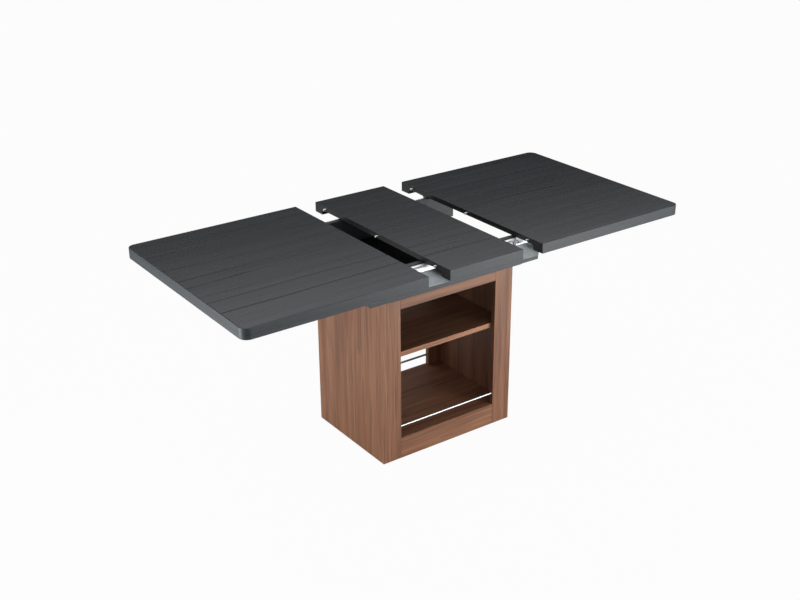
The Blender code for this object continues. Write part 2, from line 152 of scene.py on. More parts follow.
def power(name, description, watts):
    return FloatProperty(name=name, description=description, default=watts, min=0.0, unit="POWER")


class TableTopSettings(bpy.types.PropertyGroup):
    edging: length("Edging thickness", "Thickness of the plastic edging on the boards", 0.003)
    edging_arris: length("Edging arris", "Radius of the edging's rounded edges", 0.0014)
    board_arris: length("Board arris", "Width of the eased edges of boards and battens", 0.0005)
    corner_radius: length("Corner radius", "Radius of the outer corners of the end leaves", 0.028)
    corner_steps: IntProperty(name="Corner steps", description="Facets in a rounded corner", default=20,
                              min=4)
    plate_cut: length("Plate corner cut", "Cut-off corner at the right end of the front edge plate", 0.070)
    ash_dark: colour("Ash pores", "Open pores and late wood of the black ash", "#0a0c0f")
    ash_mid: colour("Ash ground", "Ground colour of the black ash", "#2e3033")
    ash_light: colour("Ash light", "Lighter streaks of the black ash", "#37393c")
    ash_rim: colour("Ash rim", "Light rim beside a pressed growth ring", "#505357")
    edging_colour: colour("Edging", "Smooth grey edging of the boards and the front edge plate", "#363a3d")
    backing_colour: colour("Backing", "Black facing of undersides and hidden boards", "#161617")
    # The plate's paler grey is painted sheen, and lightens the plate's top where the leaves shade it.
    plate_sheen_colour: colour("Plate face", "Grey facing of the front edge plate", "#9ba1a4")


class CabinetSettings(bpy.types.PropertyGroup):
    arris: length("Arris", "Width of the eased edges of the cabinet's panels", 0.0006)
    walnut_dark: colour("Walnut dark", "Dark streaks of the walnut foil", "#613f2d")
    walnut_mid: colour("Walnut ground", "Ground colour of the walnut foil", "#885c42")
    walnut_light: colour("Walnut light", "Light streaks of the walnut foil", "#a27458")
    walnut_grey: colour("Walnut grey", "Cool streaks of the walnut foil", "#795d4e")
    # The shelf's front and rear faces are drawn lighter by this factor.
    edge_tone: FloatProperty(name="Shelf edge tone", description="How much lighter the shelf's edging is",
                             default=1.42, min=0.5, max=2.0)


class HardwareSettings(bpy.types.PropertyGroup):
    channel_sheet: length("Channel sheet", "Sheet thickness of the slide channels", 0.0015)
    channel_lip: length("Channel lip", "Height of a channel's turned-in lip", 0.006)
    angle_sheet: length("Angle sheet", "Sheet thickness of the slide angles", 0.002)
    bend: length("Bend radius", "Inner radius of the folded sheets", 0.0012)
    access_hole: length("Access hole", "Diameter of the hole near a slide's inner end", 0.007)
    access_inset: length("Access hole inset", "Distance of that hole from the slide's end", 0.0095)
    access_rise: length("Access hole rise", "Height of that hole above the middle of the slide", 0.005)
    screw_head: length("Screw head", "Diameter of the screw heads", 0.008)
    screw_rim: length("Screw rim", "Height of a screw head at its rim", 0.0009)
    screw_dome: length("Screw dome", "Height of a screw head's crown above its rim", 0.0007)
    screw_shank: length("Screw shank", "Diameter of the screw shanks", 0.004)
    screw_length: length("Screw length", "Length of the screw shanks", 0.012)
    rivet_head: length("Rivet head", "Diameter of the rivets on the slides", 0.0075)
    rivet_crown: length("Rivet crown", "Height of a rivet's head", 0.0018)
    zinc_colour: colour("Zinc", "Zinc plating of the slides", "#f0f2f4")
    steel_colour: colour("Satin steel", "Plated pins, rods and screws", "#b4b6b8")
    rubber_colour: colour("Rubber", "Pads under the centre leaf", "#151515")


class StageSettings(bpy.types.PropertyGroup):
    floor_colour: colour("Floor", "Colour of the studio floor", "#6a6a6a")
    floor_mirrored: colour("Floor in mirrors", "Colour of the floor as a glossy face mirrors it", "#f2f2f2")
    daylight: FloatProperty(name="Daylight", description="Strength of the even light from all round",
                            default=0.38)
    overhead: power("Overhead lamp", "Power of the soft box above the table", 45.0)
    card_height: length("Card height", "Height of the dark card behind the table", 2.00)
    card_slope: FloatProperty(name="Card slope", description="Rise of the card's top edge towards the right",
                              default=-0.15)
    front_fill: power("Front lamp", "Power of the soft box in front of the table", 67.0)
    left_fill: power("Left lamp", "Power of the soft box on the left", 15.5)
    camera_place: FloatVectorProperty(name="Camera", description="Place of the camera", subtype="TRANSLATION",
                                      unit="LENGTH", default=(-2.2621, -3.1108, 2.1956))
    camera_yaw: rotation("Yaw", "Turn to the right of the table's depth", 0.6158)
    camera_pitch: rotation("Pitch", "Tilt below the horizon", 0.4206)
    camera_roll: rotation("Roll", "Lean of the picture", -0.0077)
    camera_lens: FloatProperty(name="Lens", description="Focal length on a 36 mm wide frame", default=53.63)


# Node trees

def feed(tree, node, inputs):
    """Give a node's inputs a value each, a socket, or several sockets in a list."""
    for key, value in inputs.items():
        for source in value if isinstance(value, list) else [value]:
            if isinstance(source, bpy.types.NodeSocket):
                tree.links.new(source, node.inputs[key])
            else:
                node.inputs[key].default_value = source


def add_node(tree, kind, inputs=None, stops=None, out=0, **settings):
    """Add a node with its settings, inputs and a ramp's stops; gives one output, or all if out is None."""
    node = tree.nodes.new(kind)
    for name, value in settings.items():
        setattr(node, name, value)
    feed(tree, node, inputs or {})
    if stops:
        ramp = node.color_ramp.elements
        while len(ramp) < len(stops):
            ramp.new(1.0)
        for element, (place, tint) in zip(ramp, stops):
            element.position = place
            element.color = (*tint, 1.0)
    return node.outputs if out is None else node.outputs[out]


def new_finish(name):
    """A node material, its tree and its shader."""
    material = bpy.data.materials.new(name)
    material.use_nodes = True
    return material, material.node_tree, material.node_tree.nodes["Principled BSDF"]


def set_surface(tree, shader, tint, gloss, smooth, rough, relief, strength, depth, **levels):
    """Give a shader its colour, a roughness that follows one pattern and a relief that follows another.

    The roughness goes from smooth to rough, and the relief's depth is in metres. The levels are other inputs
    of the shader, with underscores for spaces.
    """
    roughness = add_node(tree, "ShaderNodeMapRange", {"Value": gloss, "To Min": smooth, "To Max": rough})
    normal = add_node(tree, "ShaderNodeBump", {"Strength": strength, "Distance": depth, "Height": relief})
    feed(tree, shader, {"Base Color": tint, "Roughness": roughness, "Normal": normal})
    feed(tree, shader, {name.replace("_", " "): level for name, level in levels.items()})


def grey(level):
    return (level,) * 3


def clouds(tree, place, size, detail, roughness=0.5):
    """Noise whose patches have about this size in metres along the three axes."""
    scale = tuple(1 / extent for extent in size)
    spread = add_node(tree, "ShaderNodeMapping", {"Vector": place, "Scale": scale})
    return add_node(tree, "ShaderNodeTexNoise", {"Vector": spread, "Scale": 1.0, "Detail": detail,
                                                 "Roughness": roughness})


def wandering_grain(tree, along, across, sideways):
    """Where a point lies on its sheet, with the grain lines led sideways in slow waves."""
    sheet = add_node(tree, "ShaderNodeAttribute", out="Vector", attribute_name="grain",
                     attribute_type="GEOMETRY")
    wave = clouds(tree, sheet, (along, across, 1.0), detail=1.5)
    shift = add_node(tree, "ShaderNodeMapRange", {"Value": wave, "To Min": -sideways, "To Max": sideways})
    lead = add_node(tree, "ShaderNodeCombineXYZ", {"Y": shift})
    return add_node(tree, "ShaderNodeVectorMath", {0: sheet, 1: lead}, operation="ADD")


def streaks(tree, place, long, wide, detail):
    """Noise drawn out along the grain: streaks of about this length and width in metres."""
    return clouds(tree, place, (long, wide, 1.0), detail, roughness=0.55)


def growth_rings(tree, place, long, wide, swing, apart):
    """Growth rings cut lengthwise, counted across the sheet and led off by a slow swell of so many rings.

    A whole number is the border of a ring. The swell's length and width and the rings' spacing are in metres.
    """
    swell = clouds(tree, place, (long, wide, 1.0), detail=1.6, roughness=0.35)
    across = add_node(tree, "ShaderNodeSeparateXYZ", {0: place}, out="Y")
    even = add_node(tree, "ShaderNodeMath", {0: across, 1: 1 / apart}, operation="MULTIPLY")
    return add_node(tree, "ShaderNodeMath", {0: swell, 1: swing, 2: even}, operation="MULTIPLY_ADD")


def make_black_ash(context):
    """Melamine with a black ash print and pressed growth rings: nearly black, satin, with long fine lines."""
    look = context.scene.table_top
    material, tree, shader = new_finish("Black ash melamine, pressed grain")
    place = wandering_grain(tree, along=0.8, across=0.28, sideways=0.020)
    rings = growth_rings(tree, place, long=1.5, wide=0.18, swing=3.0, apart=0.052)
    within = add_node(tree, "ShaderNodeMath", {0: rings}, operation="FRACT")
    number = add_node(tree, "ShaderNodeMath", {0: rings}, operation="FLOOR")
    strength = add_node(tree, "ShaderNodeTexWhiteNoise", {"W": number}, noise_dimensions="1D")
    # A ring shows as a dark groove about 6 mm wide with a thin light rim beside it, and comes and goes.
    groove = add_node(tree, "ShaderNodeValToRGB", {"Fac": within},
                      stops=[(0.68, grey(0.0)), (0.83, grey(0.28)), (0.88, grey(1.0)), (0.92, grey(1.0)),
                             (0.95, grey(0.0))])
    rim = add_node(tree, "ShaderNodeValToRGB", {"Fac": within},
                   stops=[(0.94, grey(0.0)), (0.965, grey(0.30)), (1.0, grey(0.0))])
    fading = streaks(tree, place, long=0.38, wide=0.034, detail=1.5)
    most = add_node(tree, "ShaderNodeMapRange", {"Value": strength, "From Min": 0.15, "From Max": 0.85,
                                                 "To Min": 0.10})
    least = add_node(tree, "ShaderNodeMath", {0: most, 1: 0.2}, operation="MULTIPLY")
    shown = add_node(tree, "ShaderNodeMapRange", {"Value": fading, "From Min": 0.38, "From Max": 0.54,
                                                  "To Min": least, "To Max": most})
    grooves = add_node(tree, "ShaderNodeMath", {0: groove, 1: shown}, operation="MULTIPLY")
    rims = add_node(tree, "ShaderNodeMath", {0: rim, 1: shown}, operation="MULTIPLY")
    # Real pores are 0.3 mm wide; they are drawn 5 mm wide so that they show at this distance.
    pores = streaks(tree, place, long=0.20, wide=0.0050, detail=3.0)
    flecks = add_node(tree, "ShaderNodeMapRange", {"Value": pores, "From Min": 0.42, "From Max": 0.72})
    dark = add_node(tree, "ShaderNodeMath", {0: flecks, 1: 0.16, 2: grooves}, operation="MULTIPLY_ADD",
                    use_clamp=True)
    broad = streaks(tree, place, long=0.50, wide=0.016, detail=3.0)
    ground = add_node(tree, "ShaderNodeValToRGB", {"Fac": broad},
                      stops=[(0.36, look.ash_mid), (0.66, look.ash_light)])
    grained = add_node(tree, "ShaderNodeMix", {0: dark, MIX_A: ground, MIX_B: (*look.ash_dark, 1.0)},
                       out=MIX_RESULT, data_type="RGBA")
    tint = add_node(tree, "ShaderNodeMix", {0: rims, MIX_A: grained, MIX_B: (*look.ash_rim, 1.0)},
                    out=MIX_RESULT, data_type="RGBA")
    # A pressed groove mirrors less than the face around it.
    sheen = add_node(tree, "ShaderNodeMapRange", {"Value": grooves, "To Min": 0.50, "To Max": 0.16})
    height = add_node(tree, "ShaderNodeMath", {0: 1.0, 1: dark}, operation="SUBTRACT")
    set_surface(tree, shader, tint, gloss=grooves, smooth=0.26, rough=0.40,
                relief=height, strength=0.14, depth=0.0004, Specular_IOR_Level=sheen)
    return material


def make_edging(context):
    """Extruded plastic edging: smooth and dark grey, with a soft gloss and the trimming cutter's ripple."""
    material, tree, shader = new_finish("Smooth plastic edging, satin")
    place = add_node(tree, "ShaderNodeTexCoord", out="Object")
    # Drawing lines from the extruder run along the edge about 3 mm apart, and the cutter leaves a ripple
    # every 2 mm or so; they are drawn 12 mm and 6 mm apart, so that they do not break up into dots far off.
    lines = clouds(tree, place, (0.5, 0.5, 0.012), detail=0.5)
    ripple = clouds(tree, place, (0.006,) * 3, detail=1.0)
    # The eased arrises are drawn lighter: partly wear, partly a painted highlight along the edge.
    arris_wear_and_highlight = add_node(tree, "ShaderNodeAttribute", out="Fac", attribute_name="arris", attribute_type="GEOMETRY")
    lift = add_node(tree, "ShaderNodeMath", {0: arris_wear_and_highlight, 1: 0.35, 2: lines}, operation="MULTIPLY_ADD")
    base = Vector(context.scene.table_top.edging_colour)
    tint = add_node(tree, "ShaderNodeValToRGB", {"Fac": lift},
                    stops=[(0.30, base * 0.90), (0.70, base * 1.10), (1.0, base * 1.45)])
    set_surface(tree, shader, tint, gloss=lines, smooth=0.40, rough=0.52,
                relief=ripple, strength=0.012, depth=0.0002, Specular_IOR_Level=0.30)
    return material


def make_facing(name, base):
    """Melamine facing pressed on a board: one satin colour, slightly clouded by the fibres below."""
    material, tree, shader = new_finish(name)
    place = add_node(tree, "ShaderNodeTexCoord", out="Object")
    # The board's fibres show through as clouds about 6 mm wide.
    fibres = clouds(tree, place, (0.006,) * 3, detail=4.0)
    tint = add_node(tree, "ShaderNodeValToRGB", {"Fac": fibres},
                    stops=[(0.35, base * 0.85), (0.68, base * 1.2)])
    set_surface(tree, shader, tint, gloss=fibres, smooth=0.30, rough=0.46,
                relief=fibres, strength=0.10, depth=0.0003, Specular_IOR_Level=0.50)
    return material


def make_backing(context):
    """Black facing of undersides, board ends and hidden boards."""
    return make_facing("Black melamine facing, satin", Vector(context.scene.table_top.backing_colour))


def make_plate_sheen_face(context):
    """Grey facing of the front edge plate, paler than the boards: the paler grey paints in the top's sheen and
    lightens its shade under the leaves.
    """
    return make_facing("Grey melamine facing, satin", Vector(context.scene.table_top.plate_sheen_colour))


def make_walnut(context):
    """Walnut foil under satin lacquer: warm brown in long streaks, some cool and grey, with fine pores."""
    look = context.scene.table_cabinet
    material, tree, shader = new_finish("Walnut foil, satin lacquer")
    place = wandering_grain(tree, along=0.55, across=0.16, sideways=0.016)
    bands = streaks(tree, place, long=1.10, wide=0.050, detail=3.0)
    lines = streaks(tree, place, long=0.22, wide=0.0075, detail=3.0)
    rings = growth_rings(tree, place, long=1.1, wide=0.075, swing=5.0, apart=0.060)
    within = add_node(tree, "ShaderNodeMath", {0: rings}, operation="FRACT")
    figure = add_node(tree, "ShaderNodeMath", {0: bands, 1: 0.48}, operation="MULTIPLY")
    for pattern, weight in ((lines, 0.42), (within, 0.10)):
        figure = add_node(tree, "ShaderNodeMath", {0: pattern, 1: weight, 2: figure},
                          operation="MULTIPLY_ADD")
    warm = add_node(tree, "ShaderNodeValToRGB", {"Fac": figure},
                    stops=[(0.33, look.walnut_dark), (0.49, look.walnut_mid), (0.68, look.walnut_light)])
    cool = streaks(tree, place, long=0.70, wide=0.040, detail=2.0)
    coolness = add_node(tree, "ShaderNodeMapRange", {"Value": cool, "From Min": 0.50, "From Max": 0.75,
                                                     "To Max": 0.55})
    # Real pores are 0.2 mm wide; they are drawn 5 mm wide so that they show at this distance.
    pores = streaks(tree, place, long=0.16, wide=0.0050, detail=2.0)
    bunches = streaks(tree, place, long=0.45, wide=0.022, detail=1.0)
    most = add_node(tree, "ShaderNodeMapRange", {"Value": bunches, "From Min": 0.42, "From Max": 0.64,
                                                 "To Max": 0.75})
    flecks = add_node(tree, "ShaderNodeMapRange", {"Value": pores, "From Min": 0.50, "From Max": 0.70,
                                                   "To Max": most})
    # The eased arrises take the light walnut along the lines: partly wear, partly a painted highlight.
    arris_wear_and_highlight = add_node(tree, "ShaderNodeAttribute", out="Fac", attribute_name="arris", attribute_type="GEOMETRY")
    rubbed_and_lit_arris = add_node(tree, "ShaderNodeMath", {0: arris_wear_and_highlight, 1: lines}, operation="MULTIPLY")
    layers = ((coolness, look.walnut_grey), (flecks, look.walnut_dark), (rubbed_and_lit_arris, look.walnut_light))
    tint = warm
    for share, over in layers:
        tint = add_node(tree, "ShaderNodeMix", {0: share, MIX_A: tint, MIX_B: (*over, 1.0)},
                        out=MIX_RESULT, data_type="RGBA")
    tone = add_node(tree, "ShaderNodeAttribute", out="Fac", attribute_name="tone", attribute_type="GEOMETRY")
    toned = add_node(tree, "ShaderNodeHueSaturation", {"Value": tone, "Color": tint})
    height = add_node(tree, "ShaderNodeMath", {0: 1.0, 1: flecks}, operation="SUBTRACT")
    set_surface(tree, shader, toned, gloss=lines, smooth=0.38, rough=0.58,
                relief=height, strength=0.20, depth=0.0003, Specular_IOR_Level=0.42)
    return material


def make_zinc(context):
    """Zinc-plated cold-rolled sheet: pale, with rolling streaks along the slides and a faint spangle."""
    material, tree, shader = new_finish("Zinc-plated sheet steel, rolled")
    place = add_node(tree, "ShaderNodeTexCoord", out="Object")
    # Rolling streaks are about 3 mm wide and 400 mm long, and a spangle is about 7 mm across.
    rolled = clouds(tree, place, (0.4, 0.003, 0.003), detail=3.0)
    spangle = add_node(tree, "ShaderNodeTexVoronoi", {"Vector": place, "Scale": 1 / 0.007}, out="Color")
    both = add_node(tree, "ShaderNodeMath", {0: spangle, 1: 0.18, 2: rolled}, operation="MULTIPLY_ADD")
    base = Vector(context.scene.table_hardware.zinc_colour)
    tint = add_node(tree, "ShaderNodeValToRGB", {"Fac": both},
                    stops=[(0.35, base * 0.84), (0.62, base), (0.85, base * 1.10)])
    set_surface(tree, shader, tint, gloss=both, smooth=0.40, rough=0.60,
                relief=rolled, strength=0.05, depth=0.0002, Metallic=0.8)
    return material


def make_satin_steel(context):
    """Drawn steel with satin plating: pale and softly shining, with fine drawing marks along the bar."""
    material, tree, shader = new_finish("Drawn steel, satin plated")
    place = add_node(tree, "ShaderNodeTexCoord", out="Object")
    # Drawing marks are about 0.5 mm wide and 60 mm long.
    marks = clouds(tree, place, (0.06, 0.0005, 0.0005), detail=2.0)
    base = Vector(context.scene.table_hardware.steel_colour)
    tint = add_node(tree, "ShaderNodeValToRGB", {"Fac": marks},
                    stops=[(0.30, base * 0.86), (0.70, base * 1.12)])
    set_surface(tree, shader, tint, gloss=marks, smooth=0.34, rough=0.50,
                relief=marks, strength=0.04, depth=0.0001, Metallic=1.0)
    return material


def make_rubber(context):
    """Moulded rubber: black, dull and slightly dusty."""
    material, tree, shader = new_finish("Black rubber, moulded")
    place = add_node(tree, "ShaderNodeTexCoord", out="Object")
    # Dust lies in specks about 1.5 mm wide.
    dust = clouds(tree, place, (0.0015,) * 3, detail=4.0)
    base = Vector(context.scene.table_hardware.rubber_colour)
    tint = add_node(tree, "ShaderNodeValToRGB", {"Fac": dust}, stops=[(0.35, base * 0.8), (0.70, base * 1.8)])
    set_surface(tree, shader, tint, gloss=dust, smooth=0.70, rough=0.90,
                relief=dust, strength=0.20, depth=0.0003)
    return material


FINISH_MAKERS = {"black_ash": make_black_ash, "black_edge": make_edging, "dark_board": make_backing,
                 "plate_sheen_face": make_plate_sheen_face, "walnut": make_walnut, "zinc": make_zinc,
                 "steel": make_satin_steel, "rubber": make_rubber}
FINISHES_MADE = {}


def finish(context, slot):
    """The finish of one of the record's slots, or of a plate's face, made when it is first asked for."""
    if slot not in FINISHES_MADE:
        FINISHES_MADE[slot] = FINISH_MAKERS[slot](context)
    return FINISHES_MADE[slot]


# Meshes

def near_and_far(sign, low, high):
    """The two ends of a span, in the order in which something that goes this way meets them."""
    return (low, high) if sign > 0 else (high, low)


def prism(outline, axis, start, end):
    """A solid with straight sides along an axis; its outline is in the other two axes, in X, Y, Z order."""
    shape = bmesh.new()
    rings = []
    for level in (start, end):
        ring = []
        for first, second in outline:
            place = [first, second]
            place.insert("xyz".index(axis), level)
            ring.append(shape.verts.new(place))
        shape.faces.new(ring)
        rings.append(ring)
    lower, upper = rings
    for low, low_next, high, high_next in zip(lower, lower[1:] + lower[:1], upper, upper[1:] + upper[:1]):
        shape.faces.new((low, low_next, high_next, high))
    bmesh.ops.recalc_face_normals(shape, faces=shape.faces)
    return shape


def block(low, high):
    return prism([(low.x, low.y), (high.x, low.y), (high.x, high.y), (low.x, high.y)], "z", low.z, high.z)


def ease_edges(shape, width, steps=2):
    """Round every sharp edge, and mark the small faces of the rounding, where a finish wears and where a
    painted highlight runs along the edge.
    """
    layer = shape.faces.layers.float.new("arris")
    edges = [edge for edge in shape.edges if edge.calc_face_angle(0.0) > EASE_ANGLE]
    made = bmesh.ops.bevel(shape, geom=edges, offset=width, offset_type="OFFSET", segments=steps, profile=0.5,
                           affect="EDGES", clamp_overlap=True)
    for face in made["faces"]:
        face[layer] = 1.0
    return shape


def folded_sheet(path, sheet, bend, steps=5):
    """Outline of a folded sheet: its middle line gets round bends, and half the sheet lies on each side."""
    radius = bend + sheet / 2
    line = [Vector(path[0])]
    for before, corner, after in zip(path, path[1:], path[2:]):
        corner = Vector(corner)
        towards = (Vector(before) - corner).normalized()
        onwards = (Vector(after) - corner).normalized()
        centre = corner + (towards + onwards) * radius
        for step in range(steps + 1):
            angle = math.pi / 2 * step / steps
            line.append(centre - onwards * radius * math.cos(angle) - towards * radius * math.sin(angle))
    line.append(Vector(path[-1]))
    left, right = [], []
    for index, point in enumerate(line):
        run = line[min(index + 1, len(line) - 1)] - line[max(index - 1, 0)]
        side = Vector((-run.y, run.x)).normalized() * sheet / 2
        left.append(point + side)
        right.append(point - side)
    return [tuple(point) for point in left + right[::-1]]


def settle(context, piece):
    """Turn an object with modifiers into a plain mesh that holds their result."""
    graph = context.evaluated_depsgraph_get()
    mesh = bpy.data.meshes.new_from_object(piece.evaluated_get(graph), preserve_all_data_layers=True,
                                           depsgraph=graph)
    drawn = piece.data
    piece.modifiers.clear()
    piece.data = mesh
    bpy.data.meshes.remove(drawn)
    mesh.name = piece.name


def bore(context, piece, holes):
    """Bore holes, each given as its mouth, the direction it goes in, its depth and its diameter."""
    shape = bmesh.new()
    for mouth, direction, depth, diameter in holes:
        direction = Vector(direction)
        turn = UP.rotation_difference(direction).to_matrix().to_4x4()
        middle = Vector(mouth) + direction * (depth - BORE_OVERSHOOT) / 2
        bmesh.ops.create_cone(shape, cap_ends=True, segments=BORE_SIDES, radius1=diameter / 2,
                              radius2=diameter / 2, depth=depth + BORE_OVERSHOOT,
                              matrix=Matrix.Translation(middle) @ turn)
    drill = new_object(context, piece.name + "_drill", shape)
    cut = piece.modifiers.new("bores", "BOOLEAN")
    cut.operation = "DIFFERENCE"
    cut.solver = "EXACT"
    cut.object = drill
    settle(context, piece)
    drill_mesh = drill.data
    bpy.data.objects.remove(drill)
    bpy.data.meshes.remove(drill_mesh)


def new_object(context, name, shape):
    mesh = bpy.data.meshes.new(name)
    shape.to_mesh(mesh)
    shape.free()
    piece = bpy.data.objects.new(name, mesh)
    context.scene.collection.objects.link(piece)
    return piece


def even_shading(context, piece):
    """Shade rounded edges smoothly and keep the flat faces flat."""
    piece.data.shade_smooth()
    piece.data.set_sharp_from_angle(angle=SHARP_ANGLE)
    even = piece.modifiers.new("even shading", "WEIGHTED_NORMAL")
    even.keep_sharp = True
    settle(context, piece)


def lay_grain(piece, along, sheet):
    """Write where each corner lies on its face's sheet: along the grain, across it, and the sheet number."""
    mesh = piece.data
    grain = mesh.attributes.new("grain", "FLOAT_VECTOR", "CORNER")
    tone = mesh.attributes.new("tone", "FLOAT", "FACE")
    for face in mesh.polygons:
        facing = max(range(3), key=lambda axis: abs(face.normal[axis]))
        first = along if along != facing else (facing + 1) % 3
        second = 3 - facing - first
        number = sheet + SHEET_STEP * (facing + (3 if face.normal[facing] > 0 else 0))
        tone.data[face.index].value = 1.0
        for corner in face.loop_indices:
            spot = mesh.vertices[mesh.loops[corner].vertex_index].co
            grain.data[corner].vector = (spot[first], spot[second] + SHEET_SHIFT * number, number)


def set_place(piece, body, nodes):
    """Hang a piece on the body that carries it, and hide the solids that it stands for."""
    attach(piece, body)
    if nodes:
        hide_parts(*nodes)
    return piece


def add_piece(context, name, shape, slot, body, nodes, holes=(), face=None):
    """A piece with its holes; face names its finish where that is not the slot's own."""
    piece = new_object(context, name, shape)
    if holes:
        bore(context, piece, holes)
    even_shading(context, piece)
    piece.data.materials.append(finish(context, face or slot))
    return set_place(piece, body, nodes)


def add_eased_block(context, name, node, slot, body, arris):
    """A block in the place of a solid of the same size, with its edges eased."""
    return add_piece(context, name, ease_edges(block(*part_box(node)), arris), slot, body, [node])


# Node trees that make what repeats

def new_tree(name, sizes):
    """A geometry tree that takes a geometry, named sizes and a finish; gives the tree and what it takes."""
    tree = bpy.data.node_groups.new(name, "GeometryNodeTree")
    tree.interface.new_socket("Geometry", in_out="OUTPUT", socket_type="NodeSocketGeometry")
    tree.interface.new_socket("Geometry", in_out="INPUT", socket_type="NodeSocketGeometry")
    for label in sizes:
        tree.interface.new_socket(label, in_out="INPUT", socket_type="NodeSocketFloat")
    tree.interface.new_socket("Finish", in_out="INPUT", socket_type="NodeSocketMaterial")
    return tree, add_node(tree, "NodeGroupInput", out=None)


def end_tree(tree, given, geometry):
    """Make the instances real, give them the finish, and hand out the tree."""
    real = add_node(tree, "GeometryNodeRealizeInstances", {"Geometry": geometry})
    finished = add_node(tree, "GeometryNodeSetMaterial", {"Geometry": real, "Material": given["Finish"]})
    add_node(tree, "NodeGroupOutput", {"Geometry": finished}, out=None)
    return tree


def set_out(tree, given, item, seed=None):
    """Put an item on every point, with its Z axis along the point's facing; a seed turns each differently."""
    facing = add_node(tree, "GeometryNodeInputNamedAttribute", {"Name": "facing"}, data_type="FLOAT_VECTOR")
    turn = add_node(tree, "FunctionNodeAlignRotationToVector", {"Vector": facing}, axis="Z")
    if seed is not None:
        spin = add_node(tree, "FunctionNodeRandomValue",
                        {RANDOM_MIN: 0.0, RANDOM_MAX: math.tau, "Seed": seed}, out=RANDOM_RESULT,
                        data_type="FLOAT")
        about = add_node(tree, "ShaderNodeCombineXYZ", {"Z": spin})
        turn = add_node(tree, "FunctionNodeRotateRotation", {"Rotation": turn, "Rotate By": about},
                        rotation_space="LOCAL")
    return add_node(tree, "GeometryNodeInstanceOnPoints", {"Points": given["Geometry"], "Instance": item,
                                                           "Rotation": turn})


def make_screw_tree():
    """Pan-head screws with a cross recess: a crowned head on each point, and its shank behind it."""
    tree, given = new_tree("Cross-recess screws", ("Head", "Rim", "Dome", "Shank", "Length"))
    radius = add_node(tree, "ShaderNodeMath", {0: given["Head"], 1: 2.0}, operation="DIVIDE")
    half_rim = add_node(tree, "ShaderNodeMath", {0: given["Rim"], 1: 2.0}, operation="DIVIDE")
    head = add_node(tree, "GeometryNodeMeshCylinder",
                    {"Vertices": HEAD_SIDES, "Side Segments": 1, "Fill Segments": HEAD_RINGS,
                     "Radius": radius, "Depth": given["Rim"]}, fill_type="TRIANGLE_FAN")
    # The crown falls from the middle of the head to its rim with the square of the distance.
    spot = add_node(tree, "GeometryNodeInputPosition")
    flat = add_node(tree, "ShaderNodeVectorMath", {0: spot, 1: (1, 1, 0)}, operation="MULTIPLY")
    outwards = add_node(tree, "ShaderNodeVectorMath", {0: flat}, out="Value", operation="LENGTH")
    share = add_node(tree, "ShaderNodeMath", {0: outwards, 1: radius}, operation="DIVIDE")
    fall = add_node(tree, "ShaderNodeMath", {0: share, 1: 2.0}, operation="POWER")
    rise = add_node(tree, "ShaderNodeMath", {0: 1.0, 1: fall}, operation="SUBTRACT")
    crown = add_node(tree, "ShaderNodeMath", {0: rise, 1: given["Dome"]}, operation="MULTIPLY")
    level = add_node(tree, "ShaderNodeSeparateXYZ", {0: spot}, out="Z")
    upper = add_node(tree, "FunctionNodeCompare", {0: level, 1: 0.0}, data_type="FLOAT",
                     operation="GREATER_THAN")
    lift = add_node(tree, "ShaderNodeCombineXYZ", {"Z": crown})
    crowned = add_node(tree, "GeometryNodeSetPosition",
                       {"Geometry": head, "Selection": upper, "Offset": lift})
    arm_length, arm_width, arm_depth = (
        add_node(tree, "ShaderNodeMath", {0: given[label], 1: part}, operation="MULTIPLY")
        for label, part in (("Head", ARM_LENGTH), ("Head", ARM_WIDTH), ("Dome", ARM_DEPTH)))
    top = add_node(tree, "ShaderNodeMath", {0: half_rim, 1: given["Dome"]}, operation="ADD")
    at_top = add_node(tree, "ShaderNodeCombineXYZ", {"Z": top})
    arms = []
    for first, second in ((arm_length, arm_width), (arm_width, arm_length)):
        extent = add_node(tree, "ShaderNodeCombineXYZ", {"X": first, "Y": second, "Z": arm_depth})
        arm = add_node(tree, "GeometryNodeMeshCube", {"Size": extent})
        arms.append(add_node(tree, "GeometryNodeTransform", {"Geometry": arm, "Translation": at_top}))
    recessed = add_node(tree, "GeometryNodeMeshBoolean", {"Mesh 1": crowned, "Mesh 2": arms},
                        operation="DIFFERENCE", solver="EXACT")
    up = add_node(tree, "ShaderNodeCombineXYZ", {"Z": half_rim})
    seated = add_node(tree, "GeometryNodeTransform", {"Geometry": recessed, "Translation": up})
    shank_radius = add_node(tree, "ShaderNodeMath", {0: given["Shank"], 1: 2.0}, operation="DIVIDE")
    shank = add_node(tree, "GeometryNodeMeshCylinder", {"Vertices": SHANK_SIDES, "Radius": shank_radius,
                                                        "Depth": given["Length"]})
    drop = add_node(tree, "ShaderNodeMath", {0: given["Length"], 1: -0.5}, operation="MULTIPLY")
    down = add_node(tree, "ShaderNodeCombineXYZ", {"Z": drop})
    driven = add_node(tree, "GeometryNodeTransform", {"Geometry": shank, "Translation": down})
    screw = add_node(tree, "GeometryNodeJoinGeometry", {"Geometry": [seated, driven]})
    return end_tree(tree, given, set_out(tree, given, screw, SCREW_SEED))


